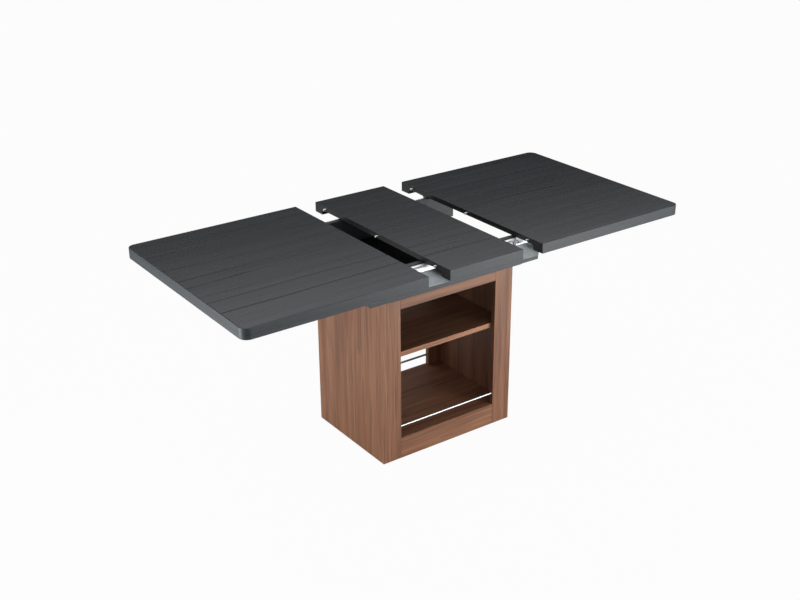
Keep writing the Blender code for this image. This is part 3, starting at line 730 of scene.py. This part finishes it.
def make_turned_tree():
    """Turned pins, rods and rivet heads: a round bar from each point, with its far end rounded over."""
    tree, given = new_tree("Turned pins", ("Diameter", "Length", "Tip"))
    end = add_node(tree, "ShaderNodeCombineXYZ", {"Z": given["Length"]})
    line = add_node(tree, "GeometryNodeCurvePrimitiveLine", {"Start": (0, 0, 0), "End": end}, mode="POINTS")
    ringed = add_node(tree, "GeometryNodeResampleCurve", {"Curve": line, "Count": TURNED_RINGS}, mode="COUNT")
    spot = add_node(tree, "GeometryNodeInputPosition")
    level = add_node(tree, "ShaderNodeSeparateXYZ", {0: spot}, out="Z")
    tip_start = add_node(tree, "ShaderNodeMath", {0: given["Length"], 1: given["Tip"]}, operation="SUBTRACT")
    share = add_node(tree, "ShaderNodeMapRange", {"Value": level, "From Min": tip_start,
                                                  "From Max": given["Length"]})
    square = add_node(tree, "ShaderNodeMath", {0: share, 1: 2.0}, operation="POWER")
    left = add_node(tree, "ShaderNodeMath", {0: square, 1: TIP_FALL, 2: 1.0}, operation="MULTIPLY_ADD")
    taper = add_node(tree, "ShaderNodeMath", {0: left}, operation="SQRT")
    half = add_node(tree, "ShaderNodeMath", {0: given["Diameter"], 1: 2.0}, operation="DIVIDE")
    radius = add_node(tree, "ShaderNodeMath", {0: half, 1: taper}, operation="MULTIPLY")
    ring = add_node(tree, "GeometryNodeCurvePrimitiveCircle", {"Resolution": TURNED_SIDES, "Radius": 1.0},
                    mode="RADIUS")
    bar = add_node(tree, "GeometryNodeCurveToMesh", {"Curve": ringed, "Profile Curve": ring, "Scale": radius,
                                                     "Fill Caps": True})
    return end_tree(tree, given, set_out(tree, given, bar))


def make_edging_tree():
    """Edging along a leaf's outline: an upright strip, well rounded at one edge and hardly at the other."""
    tree, given = new_tree("Edging along an outline", ("Thickness", "Height", "Arris"))
    line = add_node(tree, "GeometryNodeMeshToCurve", {"Mesh": given["Geometry"]})
    upright = add_node(tree, "GeometryNodeSetCurveNormal", {"Curve": line}, mode="Z_UP")
    section = add_node(tree, "GeometryNodeCurvePrimitiveQuadrilateral",
                       {"Width": given["Thickness"], "Height": given["Height"]}, mode="RECTANGLE")
    spot = add_node(tree, "GeometryNodeInputPosition")
    level = add_node(tree, "ShaderNodeSeparateXYZ", {0: spot}, out="Y")
    upper = add_node(tree, "FunctionNodeCompare", {0: level, 1: 0.0}, data_type="FLOAT",
                     operation="LESS_THAN")
    share = add_node(tree, "ShaderNodeMapRange", {"Value": upper, "To Min": LOWER_ARRIS})
    radius = add_node(tree, "ShaderNodeMath", {0: given["Arris"], 1: share}, operation="MULTIPLY")
    rounded = add_node(tree, "GeometryNodeFilletCurve", {"Curve": section, "Count": ARRIS_STEPS,
                                                         "Radius": radius, "Limit Radius": True}, mode="POLY")
    strip = add_node(tree, "GeometryNodeCurveToMesh", {"Curve": upright, "Profile Curve": rounded,
                                                       "Fill Caps": True})
    return end_tree(tree, given, strip)


TREE_MAKERS = {"screws": make_screw_tree, "turned": make_turned_tree, "edging": make_edging_tree}
TREES_MADE = {}


def grow(context, name, mesh, tree_name, sizes, slot, body, nodes=()):
    """Run a node tree on a mesh of points or lines, and keep what it makes as a plain mesh."""
    if tree_name not in TREES_MADE:
        TREES_MADE[tree_name] = TREE_MAKERS[tree_name]()
    tree = TREES_MADE[tree_name]
    piece = bpy.data.objects.new(name, mesh)
    context.scene.collection.objects.link(piece)
    run = piece.modifiers.new(tree.name, "NODES")
    run.node_group = tree
    sockets = {item.name: item.identifier for item in tree.interface.items_tree if item.in_out == "INPUT"}
    for label, value in sizes.items():
        run[sockets[label]] = value
    run[sockets["Finish"]] = finish(context, slot)
    settle(context, piece)
    even_shading(context, piece)
    return set_place(piece, body, nodes)


def points(name, places):
    """A mesh of loose points, each with the way it faces."""
    mesh = bpy.data.meshes.new(name)
    mesh.from_pydata([place for place, facing in places], [], [])
    facings = mesh.attributes.new("facing", "FLOAT_VECTOR", "POINT")
    for spot, (place, facing) in zip(facings.data, places):
        spot.vector = facing
    return mesh


# Pieces

def leaf_outline(low, high, side, inset, radius, steps):
    """A leaf from its front inner corner round its outer end to its rear inner one, drawn in by the inset."""
    front, rear = low.y + inset, high.y - inset
    if side == 0:
        return [(low.x, front), (high.x, front), (high.x, rear), (low.x, rear)]
    inner, outer = near_and_far(side, low.x, high.x)
    outer -= side * inset
    turn = radius - inset
    arc = [math.pi / 2 * step / steps for step in range(steps + 1)]
    outline = [(inner, front)]
    for angle in arc:
        outline.append((outer - side * turn * (1 - math.sin(angle)), front + turn * (1 - math.cos(angle))))
    for angle in arc:
        outline.append((outer - side * turn * (1 - math.cos(angle)), rear - turn * (1 - math.sin(angle))))
    outline.append((inner, rear))
    return outline


class TABLE_OT_leaf_boards(bpy.types.Operator):
    """Make the leaf boards, with an ash face, edged sides and a black underside, and their battens"""
    bl_idname = "table.leaf_boards"
    bl_label = "Leaf boards and battens"

    def execute(self, context):
        look = context.scene.table_top
        inset = look.edging + HAIRLINE
        for number, (leaf, side) in enumerate(LEAVES.items()):
            low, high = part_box(leaf + "_board")
            outline = leaf_outline(low, high, side, inset, look.corner_radius, look.corner_steps)
            shape = ease_edges(prism(outline, "z", low.z, high.z), look.board_arris)
            board = add_piece(context, leaf + "_panel", shape, "black_ash", leaf, [leaf + "_board"],
                              self.pin_sockets(leaf, high))
            board.data.materials.append(finish(context, "black_edge"))
            board.data.materials.append(finish(context, "dark_board"))
            for face in board.data.polygons:
                if face.normal.z < -MOSTLY or abs(face.normal.x) > MOSTLY:
                    face.material_index = 2
                elif face.normal.z < MOSTLY:
                    face.material_index = 1
            lay_grain(board, ALONG_X, SHEETS_PER_LEAF * number)
            self.add_battens(context, leaf, side, outline, inset)
        return {"FINISHED"}

    def pin_sockets(self, leaf, high):
        """Bores in a right end, opposite the next leaf's pins."""
        if leaf not in NEXT_LEAF:
            return ()
        holes = []
        for row in PIN_ROWS:
            low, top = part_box(NEXT_LEAF[leaf] + "_" + row + "_pin")
            middle = (low + top) / 2
            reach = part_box(NEXT_LEAF[leaf] + "_board")[0].x - low.x
            diameter = top.z - low.z
            holes.append(((high.x, middle.y, middle.z), (-1, 0, 0), reach + diameter / 4,
                          diameter * SOCKET_EASE))
        return holes

    def add_battens(self, context, leaf, side, outline, inset):
        """The battens under a leaf's front and rear edges and, on an end leaf, under its outer end."""
        for row_name, row in ROWS.items():
            node = leaf + "_" + row_name + "_lip"
            low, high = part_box(node)
            inner_face = near_and_far(row, low.y, high.y)[0]
            kept = [(x, y) for x, y in outline if (y < inner_face if row < 0 else y > inner_face)]
            if row > 0:
                kept.reverse()
            kept += [(kept[-1][0], inner_face), (kept[0][0], inner_face)]
            shape = prism(kept, "z", low.z, high.z)
            self.add_batten(context, leaf + "_" + row_name + "_batten", shape, leaf, node)
        if side:
            node = leaf + "_end_lip"
            low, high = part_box(node)
            if side > 0:
                high.x -= inset
            else:
                low.x += inset
            self.add_batten(context, leaf + "_end_batten", block(low, high), leaf, node)

    def add_batten(self, context, name, shape, leaf, node):
        eased = ease_edges(shape, context.scene.table_top.board_arris)
        add_piece(context, name, eased, "black_edge", leaf, [node], face="dark_board")


class TABLE_OT_edging(bpy.types.Operator):
    """Run the edging round the outside of each leaf, over the board and its battens"""
    bl_idname = "table.edging"
    bl_label = "Edging"

    def execute(self, context):
        look = context.scene.table_top
        for leaf, side in LEAVES.items():
            low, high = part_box(leaf + "_board")
            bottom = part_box(leaf + "_front_lip")[0].z
            line = leaf_outline(low, high, side, look.edging / 2, look.corner_radius, look.corner_steps)
            runs = [list(range(len(line)))] if side else [[0, 1], [3, 2]]
            level = (bottom + high.z) / 2
            mesh = bpy.data.meshes.new(leaf + "_edging")
            edges = [pair for run in runs for pair in zip(run, run[1:])]
            mesh.from_pydata([(x, y, level) for x, y in line], edges, [])
            sizes = {"Thickness": look.edging, "Height": high.z - bottom, "Arris": look.edging_arris}
            grow(context, leaf + "_edging", mesh, "edging", sizes, "black_edge", leaf)
        return {"FINISHED"}


class TABLE_OT_edge_plate(bpy.types.Operator):
    """Make the plate under the front edge, which the left leaf carries"""
    bl_idname = "table.edge_plate"
    bl_label = "Front edge plate"

    def execute(self, context):
        look = context.scene.table_top
        low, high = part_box("front_edge_plate")
        outline = [(low.x, low.y), (high.x - look.plate_cut, low.y), (high.x, low.y + look.plate_cut),
                   (high.x, high.y), (low.x, high.y)]
        shape = ease_edges(prism(outline, "z", low.z, high.z), look.board_arris)
        plate = add_piece(context, "front_edge_slat", shape, "black_edge", "left_leaf", ["front_edge_plate"])
        plate.data.materials.append(finish(context, "plate_sheen_face"))
        # The top and underside take the paler grey with its painted sheen.
        for face in plate.data.polygons:
            if abs(face.normal.z) > NEARLY:
                face.material_index = 1
        return {"FINISHED"}


class TABLE_OT_cabinet(bpy.types.Operator):
    """Make the walnut cabinet: sides, floor, shelf and the front and rear frames"""
    bl_idname = "table.cabinet"
    bl_label = "Cabinet"

    def execute(self, context):
        look = context.scene.table_cabinet
        upright = ["left_side_panel", "right_side_panel"]
        level = ["cabinet_floor", "shelf"]
        for row in ROWS:
            upright += [row + "_left_stile", row + "_right_stile"]
            level += [row + "_top_rail", row + "_bottom_rail"]
        for number, node in enumerate(upright + level, start=1):
            piece = add_eased_block(context, node + "_walnut", node, "walnut", "base", look.arris)
            lay_grain(piece, ALONG_Z if node in upright else ALONG_X, SHEETS_PER_PANEL * number)
            # The shelf's front and rear faces are drawn lighter than the rest.
            if node == "shelf":
                tone = piece.data.attributes["tone"].data
                for face in piece.data.polygons:
                    if abs(face.normal.y) > MOSTLY:
                        tone[face.index].value = look.edge_tone
        return {"FINISHED"}


class TABLE_OT_carriage(bpy.types.Operator):
    """Make the cabinet's black top panel, the two support rails on it and the pads for the centre leaf"""
    bl_idname = "table.carriage"
    bl_label = "Top panel, support rails and pads"

    def execute(self, context):
        look = context.scene.table_top
        add_eased_block(context, "cabinet_top_panel", "top_panel", "dark_board", "base", look.board_arris)
        for row in ROWS:
            add_eased_block(context, row + "_support_bearer", row + "_support_rail", "black_edge", "base",
                            look.board_arris)
            add_eased_block(context, row + "_leaf_cushion", row + "_leaf_pad", "rubber", "base",
                            look.edging_arris)
        return {"FINISHED"}


class TABLE_OT_slides(bpy.types.Operator):
    """Make the folded zinc channels on the support rails, and the bars and angles that hang the end leaves"""
    bl_idname = "table.slides"
    bl_label = "Slides"

    def execute(self, context):
        for row_name, row in ROWS.items():
            self.add_channel(context, row_name, row)
            for side_name, side in SIDES.items():
                self.add_angle(context, side_name, side, row_name, row)
                self.add_bar(context, side_name, side, row_name, row)
        return {"FINISHED"}

    def add_channel(self, context, row_name, row):
        """A channel with turned-in lips, open away from its support rail."""
        look = context.scene.table_hardware
        node = row_name + "_slide_channel"
        low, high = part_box(node)
        half = look.channel_sheet / 2
        back, mouth = near_and_far(row, low.y, high.y)
        web, lip = back + row * half, mouth - row * half
        top, bottom = high.z - half, low.z + half
        path = [(lip, high.z - look.channel_lip), (lip, top), (web, top), (web, bottom), (lip, bottom),
                (lip, low.z + look.channel_lip)]
        shape = prism(folded_sheet(path, look.channel_sheet, look.bend), "x", low.x, high.x)
        add_piece(context, row_name + "_zinc_channel", shape, "zinc", "base", [node])

    def access(self, look, angle_node, side, row_name):
        """Where the access hole of a slide lies: its place along X and its height."""
        low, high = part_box(angle_node)
        channel_low, channel_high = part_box(row_name + "_slide_channel")
        along = near_and_far(side, low.x, high.x)[0] + side * look.access_inset
        return along, (channel_low.z + channel_high.z) / 2 + look.access_rise

    def add_angle(self, context, side_name, side, row_name, row):
        """The angle that is screwed up under a leaf and carries a bar."""
        look = context.scene.table_hardware
        name = side_name + "_" + row_name
        node = name + "_slide_angle"
        low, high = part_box(node)
        half = look.angle_sheet / 2
        back, edge = near_and_far(row, low.y, high.y)
        path = [(back + row * half, low.z), (back + row * half, high.z - half), (edge, high.z - half)]
        along, level = self.access(look, node, side, row_name)
        hole = ((along, back + row * look.angle_sheet, level), (0, -row, 0),
                look.angle_sheet + BORE_OVERSHOOT, look.access_hole)
        shape = prism(folded_sheet(path, look.angle_sheet, look.bend), "x", low.x, high.x)
        add_piece(context, name + "_zinc_angle", shape, "zinc", side_name + "_leaf", [node], [hole])

    def add_bar(self, context, side_name, side, row_name, row):
        """The bar that runs in a channel: wide behind the channel's lips, and narrow between them."""
        look = context.scene.table_hardware
        name = side_name + "_" + row_name
        node = name + "_slide_bar"
        low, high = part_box(node)
        channel_low, channel_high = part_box(row_name + "_slide_channel")
        back, face = near_and_far(row, low.y, high.y)
        mouth = near_and_far(row, channel_low.y, channel_high.y)[1]
        shoulder = mouth - row * (look.channel_sheet + BAR_CLEARANCE)
        middle = (channel_low.z + channel_high.z) / 2
        neck = (channel_high.z - channel_low.z) / 2 - look.channel_lip - BAR_CLEARANCE
        section = [(back, low.z), (shoulder, low.z), (shoulder, middle - neck), (face, middle - neck),
                   (face, middle + neck), (shoulder, middle + neck), (shoulder, high.z), (back, high.z)]
        along, level = self.access(look, name + "_slide_angle", side, row_name)
        hole = ((along, face, level), (0, -row, 0), abs(face - back) + BORE_OVERSHOOT, look.access_hole)
        shape = ease_edges(prism(section, "x", low.x, high.x), BAR_ARRIS)
        add_piece(context, name + "_zinc_bar", shape, "zinc", side_name + "_leaf", [node], [hole])


class TABLE_OT_pins(bpy.types.Operator):
    """Make the turned pieces: alignment pins, shelf pins and guard rods"""
    bl_idname = "table.pins"
    bl_label = "Pins and rods"

    def execute(self, context):
        for leaf in ("centre_leaf", "right_leaf"):
            ways = {leaf + "_" + row + "_pin": -1 for row in PIN_ROWS}
            self.add_turned(context, leaf + "_alignment_pins", ways, leaf, PIN_TIP)
        ways = {side_name + "_" + row + "_shelf_pin": -side
                for side_name, side in SIDES.items() for row in ROWS}
        self.add_turned(context, "shelf_pegs", ways, "base", PEG_TIP)
        for row in ROWS:
            self.add_turned(context, row + "_bright_rod", {row + "_guard_rod": 1}, "base", PEG_TIP)
        return {"FINISHED"}

    def add_turned(self, context, name, ways, body, tip):
        """One piece for a group of like solids, each given with the way along X that it points."""
        places = []
        for node, way in ways.items():
            low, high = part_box(node)
            middle = (low + high) / 2
            start = Vector((near_and_far(way, low.x, high.x)[0], middle.y, middle.z))
            places.append((start, (way, 0, 0)))
        sizes = {"Diameter": high.z - low.z, "Length": high.x - low.x, "Tip": tip}
        grow(context, name, points(name, places), "turned", sizes, "steel", body, list(ways))


class TABLE_OT_fasteners(bpy.types.Operator):
    """Make the screws and rivets that hold the slides, the edge plate, the support rails and the top panel"""
    bl_idname = "table.fasteners"
    bl_label = "Screws and rivets"

    def execute(self, context):
        look = context.scene.table_hardware
        for side_name, side in SIDES.items():
            self.add_slide_screws(context, look, side_name)
            self.add_rivets(context, look, side_name, side)
        self.add_plate_screws(context, look)
        self.add_base_screws(context, look)
        return {"FINISHED"}

    def add_screws(self, context, look, name, places, body, nodes=()):
        sizes = {"Head": look.screw_head, "Rim": look.screw_rim, "Dome": look.screw_dome,
                 "Shank": look.screw_shank, "Length": look.screw_length}
        grow(context, name, points(name, places), "screws", sizes, "steel", body, nodes)

    def add_slide_screws(self, context, look, side_name):
        """The screws that hold the slide angles up to the leaf."""
        places, nodes = [], []
        for row in ROWS:
            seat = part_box(side_name + "_" + row + "_slide_angle")[1].z - look.angle_sheet
            for end in ("inner", "outer"):
                node = side_name + "_" + row + "_slide_" + end + "_screw"
                low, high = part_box(node)
                places.append((((low.x + high.x) / 2, (low.y + high.y) / 2, seat), DOWN))
                nodes.append(node)
        self.add_screws(context, look, side_name + "_slide_screws", places, side_name + "_leaf", nodes)

    def add_rivets(self, context, look, side_name, side):
        """The rivets that join each slide angle to its bar."""
        name = side_name + "_slide_rivets"
        places = []
        for row_name, row in ROWS.items():
            low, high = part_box(side_name + "_" + row_name + "_slide_angle")
            channel_low, channel_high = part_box(row_name + "_slide_channel")
            face = near_and_far(row, low.y, high.y)[0] + row * look.angle_sheet
            inner_end = near_and_far(side, low.x, high.x)[0]
            for share in RIVET_SHARES:
                along = inner_end + side * share * (high.x - low.x)
                places.append(((along, face, (channel_low.z + channel_high.z) / 2), (0, row, 0)))
        sizes = {"Diameter": look.rivet_head, "Length": look.rivet_crown, "Tip": look.rivet_crown}
        grow(context, name, points(name, places), "turned", sizes, "zinc", side_name + "_leaf")

    def add_plate_screws(self, context, look):
        """The screws up through the front edge plate into the left leaf's batten."""
        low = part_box("front_edge_plate")[0]
        lip_low, lip_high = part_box("left_leaf_front_lip")
        places = []
        for share in STRIP_SHARES:
            along = low.x + share * (lip_high.x - low.x)
            places.append(((along, (lip_low.y + lip_high.y) / 2, low.z), DOWN))
        self.add_screws(context, look, "edge_plate_screws", places, "left_leaf")

    def add_base_screws(self, context, look):
        """The screws in the channels, up into the support rails, and down through the top panel."""
        panel_low, panel_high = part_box("top_panel")
        places = []
        for row_name, row in ROWS.items():
            low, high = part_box(row_name + "_slide_channel")
            rail_low, rail_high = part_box(row_name + "_support_rail")
            web = near_and_far(row, low.y, high.y)[0] + row * look.channel_sheet
            for share in CHANNEL_SHARES:
                along = low.x + share * (high.x - low.x)
                places.append(((along, web, (low.z + high.z) / 2), (0, row, 0)))
            for share in STRIP_SHARES:
                along = panel_low.x + share * (panel_high.x - panel_low.x)
                places.append(((along, (rail_low.y + rail_high.y) / 2, panel_low.z), DOWN))
            for side_name in SIDES:
                side_low, side_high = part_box(side_name + "_side_panel")
                places.append((((side_low.x + side_high.x) / 2, row * side_high.y / 2, panel_high.z), UP))
        self.add_screws(context, look, "base_screws", places, "base")


class TABLE_OT_stage(bpy.types.Operator):
    """Make the white floor, the dark card, the studio light and the camera"""
    bl_idname = "table.stage"
    bl_label = "Floor, light and camera"

    def execute(self, context):
        look = context.scene.table_stage
        self.add_floor(context, look)
        self.add_card(context, look)
        self.set_daylight(context, look)
        for name, (setting, width, height, place, target) in SOFT_BOXES.items():
            self.add_lamp(context, name, getattr(look, setting), width, height, Vector(place), Vector(target))
        self.add_camera(context, look)
        context.scene.view_settings.view_transform = "Standard"
        return {"FINISHED"}

    def mirrored(self, tree, rays):
        """1 for rays that a mirror or glass sends on."""
        return add_node(tree, "ShaderNodeMath", {0: rays["Is Glossy Ray"], 1: rays["Is Transmission Ray"]},
                        operation="MAXIMUM")

    def add_floor(self, context, look):
        """A white floor; the camera sees it nearly without shade, and mirrors see it with its shadows."""
        shape = bmesh.new()
        bmesh.ops.create_grid(shape, x_segments=1, y_segments=1, size=FLOOR_REACH,
                              matrix=Matrix.Translation((0, 0, -FLOOR_DROP)))
        floor = new_object(context, "studio_floor", shape)
        material, tree, shader = new_finish("White studio floor, matt paint")
        rays = add_node(tree, "ShaderNodeLightPath", out=None)
        paint = add_node(tree, "ShaderNodeMix",
                         {0: self.mirrored(tree, rays), MIX_A: (*look.floor_colour, 1.0),
                          MIX_B: (*look.floor_mirrored, 1.0)}, out=MIX_RESULT, data_type="RGBA")
        feed(tree, shader, {"Base Color": paint, "Roughness": 0.9, "Specular IOR Level": 0.1})
        white = add_node(tree, "ShaderNodeEmission", {"Color": PLAIN_WHITE, "Strength": 1.0})
        share = add_node(tree, "ShaderNodeMath", {0: rays["Is Camera Ray"], 1: FLOOR_WHITE},
                         operation="MULTIPLY")
        mixed = add_node(tree, "ShaderNodeMixShader", {0: share, 1: shader.outputs[0], 2: white})
        feed(tree, tree.nodes["Material Output"], {"Surface": mixed})
        floor.data.materials.append(material)

    def add_card(self, context, look):
        """A dark card behind the table, out of sight, that keeps the backdrop out of the top's sheen."""
        across, middle = Vector(CARD_ACROSS), Vector(CARD_MIDDLE)
        shape = bmesh.new()
        low = [shape.verts.new(middle + across * share) for share in (-CARD_HALF_WIDTH, CARD_HALF_WIDTH)]
        high = [shape.verts.new(corner.co + UP * (look.card_height + share * look.card_slope))
                for corner, share in zip(reversed(low), (CARD_HALF_WIDTH, -CARD_HALF_WIDTH))]
        shape.faces.new(low + high)
        card = new_object(context, "dark_studio_card", shape)
        material, tree, shader = new_finish("Black felt card")
        feed(tree, shader, {"Base Color": (*linear(CARD_COLOUR), 1.0), "Roughness": 1.0,
                            "Specular IOR Level": 0.0})
        card.data.materials.append(material)
        card.visible_camera = False
        card.visible_diffuse = False
        card.visible_shadow = False
        card.visible_transmission = False

    def set_daylight(self, context, look):
        """An even world, which the camera and mirrors see as plain white."""
        world = bpy.data.worlds.new("Even studio light")
        world.use_nodes = True
        tree = world.node_tree
        even = tree.nodes["Background"]
        feed(tree, even, {"Color": PLAIN_WHITE, "Strength": look.daylight})
        backdrop = add_node(tree, "ShaderNodeBackground", {"Color": PLAIN_WHITE, "Strength": 1.0})
        rays = add_node(tree, "ShaderNodeLightPath", out=None)
        seen = add_node(tree, "ShaderNodeMath", {0: rays["Is Camera Ray"], 1: self.mirrored(tree, rays)},
                        operation="MAXIMUM")
        mixed = add_node(tree, "ShaderNodeMixShader", {0: seen, 1: even.outputs[0], 2: backdrop})
        feed(tree, tree.nodes["World Output"], {"Surface": mixed})
        context.scene.world = world

    def add_lamp(self, context, name, watts, width, height, place, target):
        data = bpy.data.lights.new(name, "AREA")
        data.energy = watts
        data.shape = "RECTANGLE"
        data.size, data.size_y = width, height
        lamp = bpy.data.objects.new(name, data)
        lamp.location = place
        lamp.rotation_euler = (target - place).to_track_quat("-Z", "Y").to_euler()
        context.scene.collection.objects.link(lamp)

    def add_camera(self, context, look):
        yaw, pitch, roll = look.camera_yaw, look.camera_pitch, look.camera_roll
        forward = Vector((math.sin(yaw) * math.cos(pitch), math.cos(yaw) * math.cos(pitch), -math.sin(pitch)))
        level = Vector((math.cos(yaw), -math.sin(yaw), 0))
        upwards = level.cross(forward)
        right = level * math.cos(roll) + upwards * math.sin(roll)
        top = upwards * math.cos(roll) - level * math.sin(roll)
        data = bpy.data.cameras.new("photograph_view")
        data.sensor_width = SENSOR_WIDTH
        data.lens = look.camera_lens
        camera = bpy.data.objects.new("photograph_view", data)
        turn = Matrix((right, top, -forward)).transposed().to_4x4()
        camera.matrix_world = Matrix.Translation(look.camera_place) @ turn
        context.scene.collection.objects.link(camera)
        context.scene.camera = camera


OPERATORS = (TABLE_OT_leaf_boards, TABLE_OT_edging, TABLE_OT_edge_plate, TABLE_OT_cabinet, TABLE_OT_carriage,
             TABLE_OT_slides, TABLE_OT_pins, TABLE_OT_fasteners, TABLE_OT_stage)
SETTINGS = {"table_top": TableTopSettings, "table_cabinet": CabinetSettings,
            "table_hardware": HardwareSettings, "table_stage": StageSettings}


class TABLE_PT_maker(bpy.types.Panel):
    """Sizes and colours of the table, and the operators that make its pieces"""
    bl_idname = "TABLE_PT_maker"
    bl_label = "Extending dining table"
    bl_space_type = "VIEW_3D"
    bl_region_type = "UI"
    bl_category = "Table"

    def draw(self, context):
        for operator in OPERATORS:
            self.layout.operator(operator.bl_idname)
        for name, group in SETTINGS.items():
            box = self.layout.box()
            for setting in group.__annotations__:
                box.prop(getattr(context.scene, name), setting)


def register():
    for group in SETTINGS.values():
        bpy.utils.register_class(group)
    for name, group in SETTINGS.items():
        setattr(bpy.types.Scene, name, PointerProperty(type=group))
    for operator in OPERATORS:
        bpy.utils.register_class(operator)
    bpy.utils.register_class(TABLE_PT_maker)


def unregister():
    bpy.utils.unregister_class(TABLE_PT_maker)
    for operator in reversed(OPERATORS):
        bpy.utils.unregister_class(operator)
    for name in SETTINGS:
        delattr(bpy.types.Scene, name)
    for group in SETTINGS.values():
        bpy.utils.unregister_class(group)


def main():
    register()
    bpy.ops.table.leaf_boards()
    bpy.ops.table.edging()
    bpy.ops.table.edge_plate()
    bpy.ops.table.cabinet()
    bpy.ops.table.carriage()
    bpy.ops.table.slides()
    bpy.ops.table.pins()
    bpy.ops.table.fasteners()
    bpy.ops.table.stage()


if __name__ == "__main__":
    main()
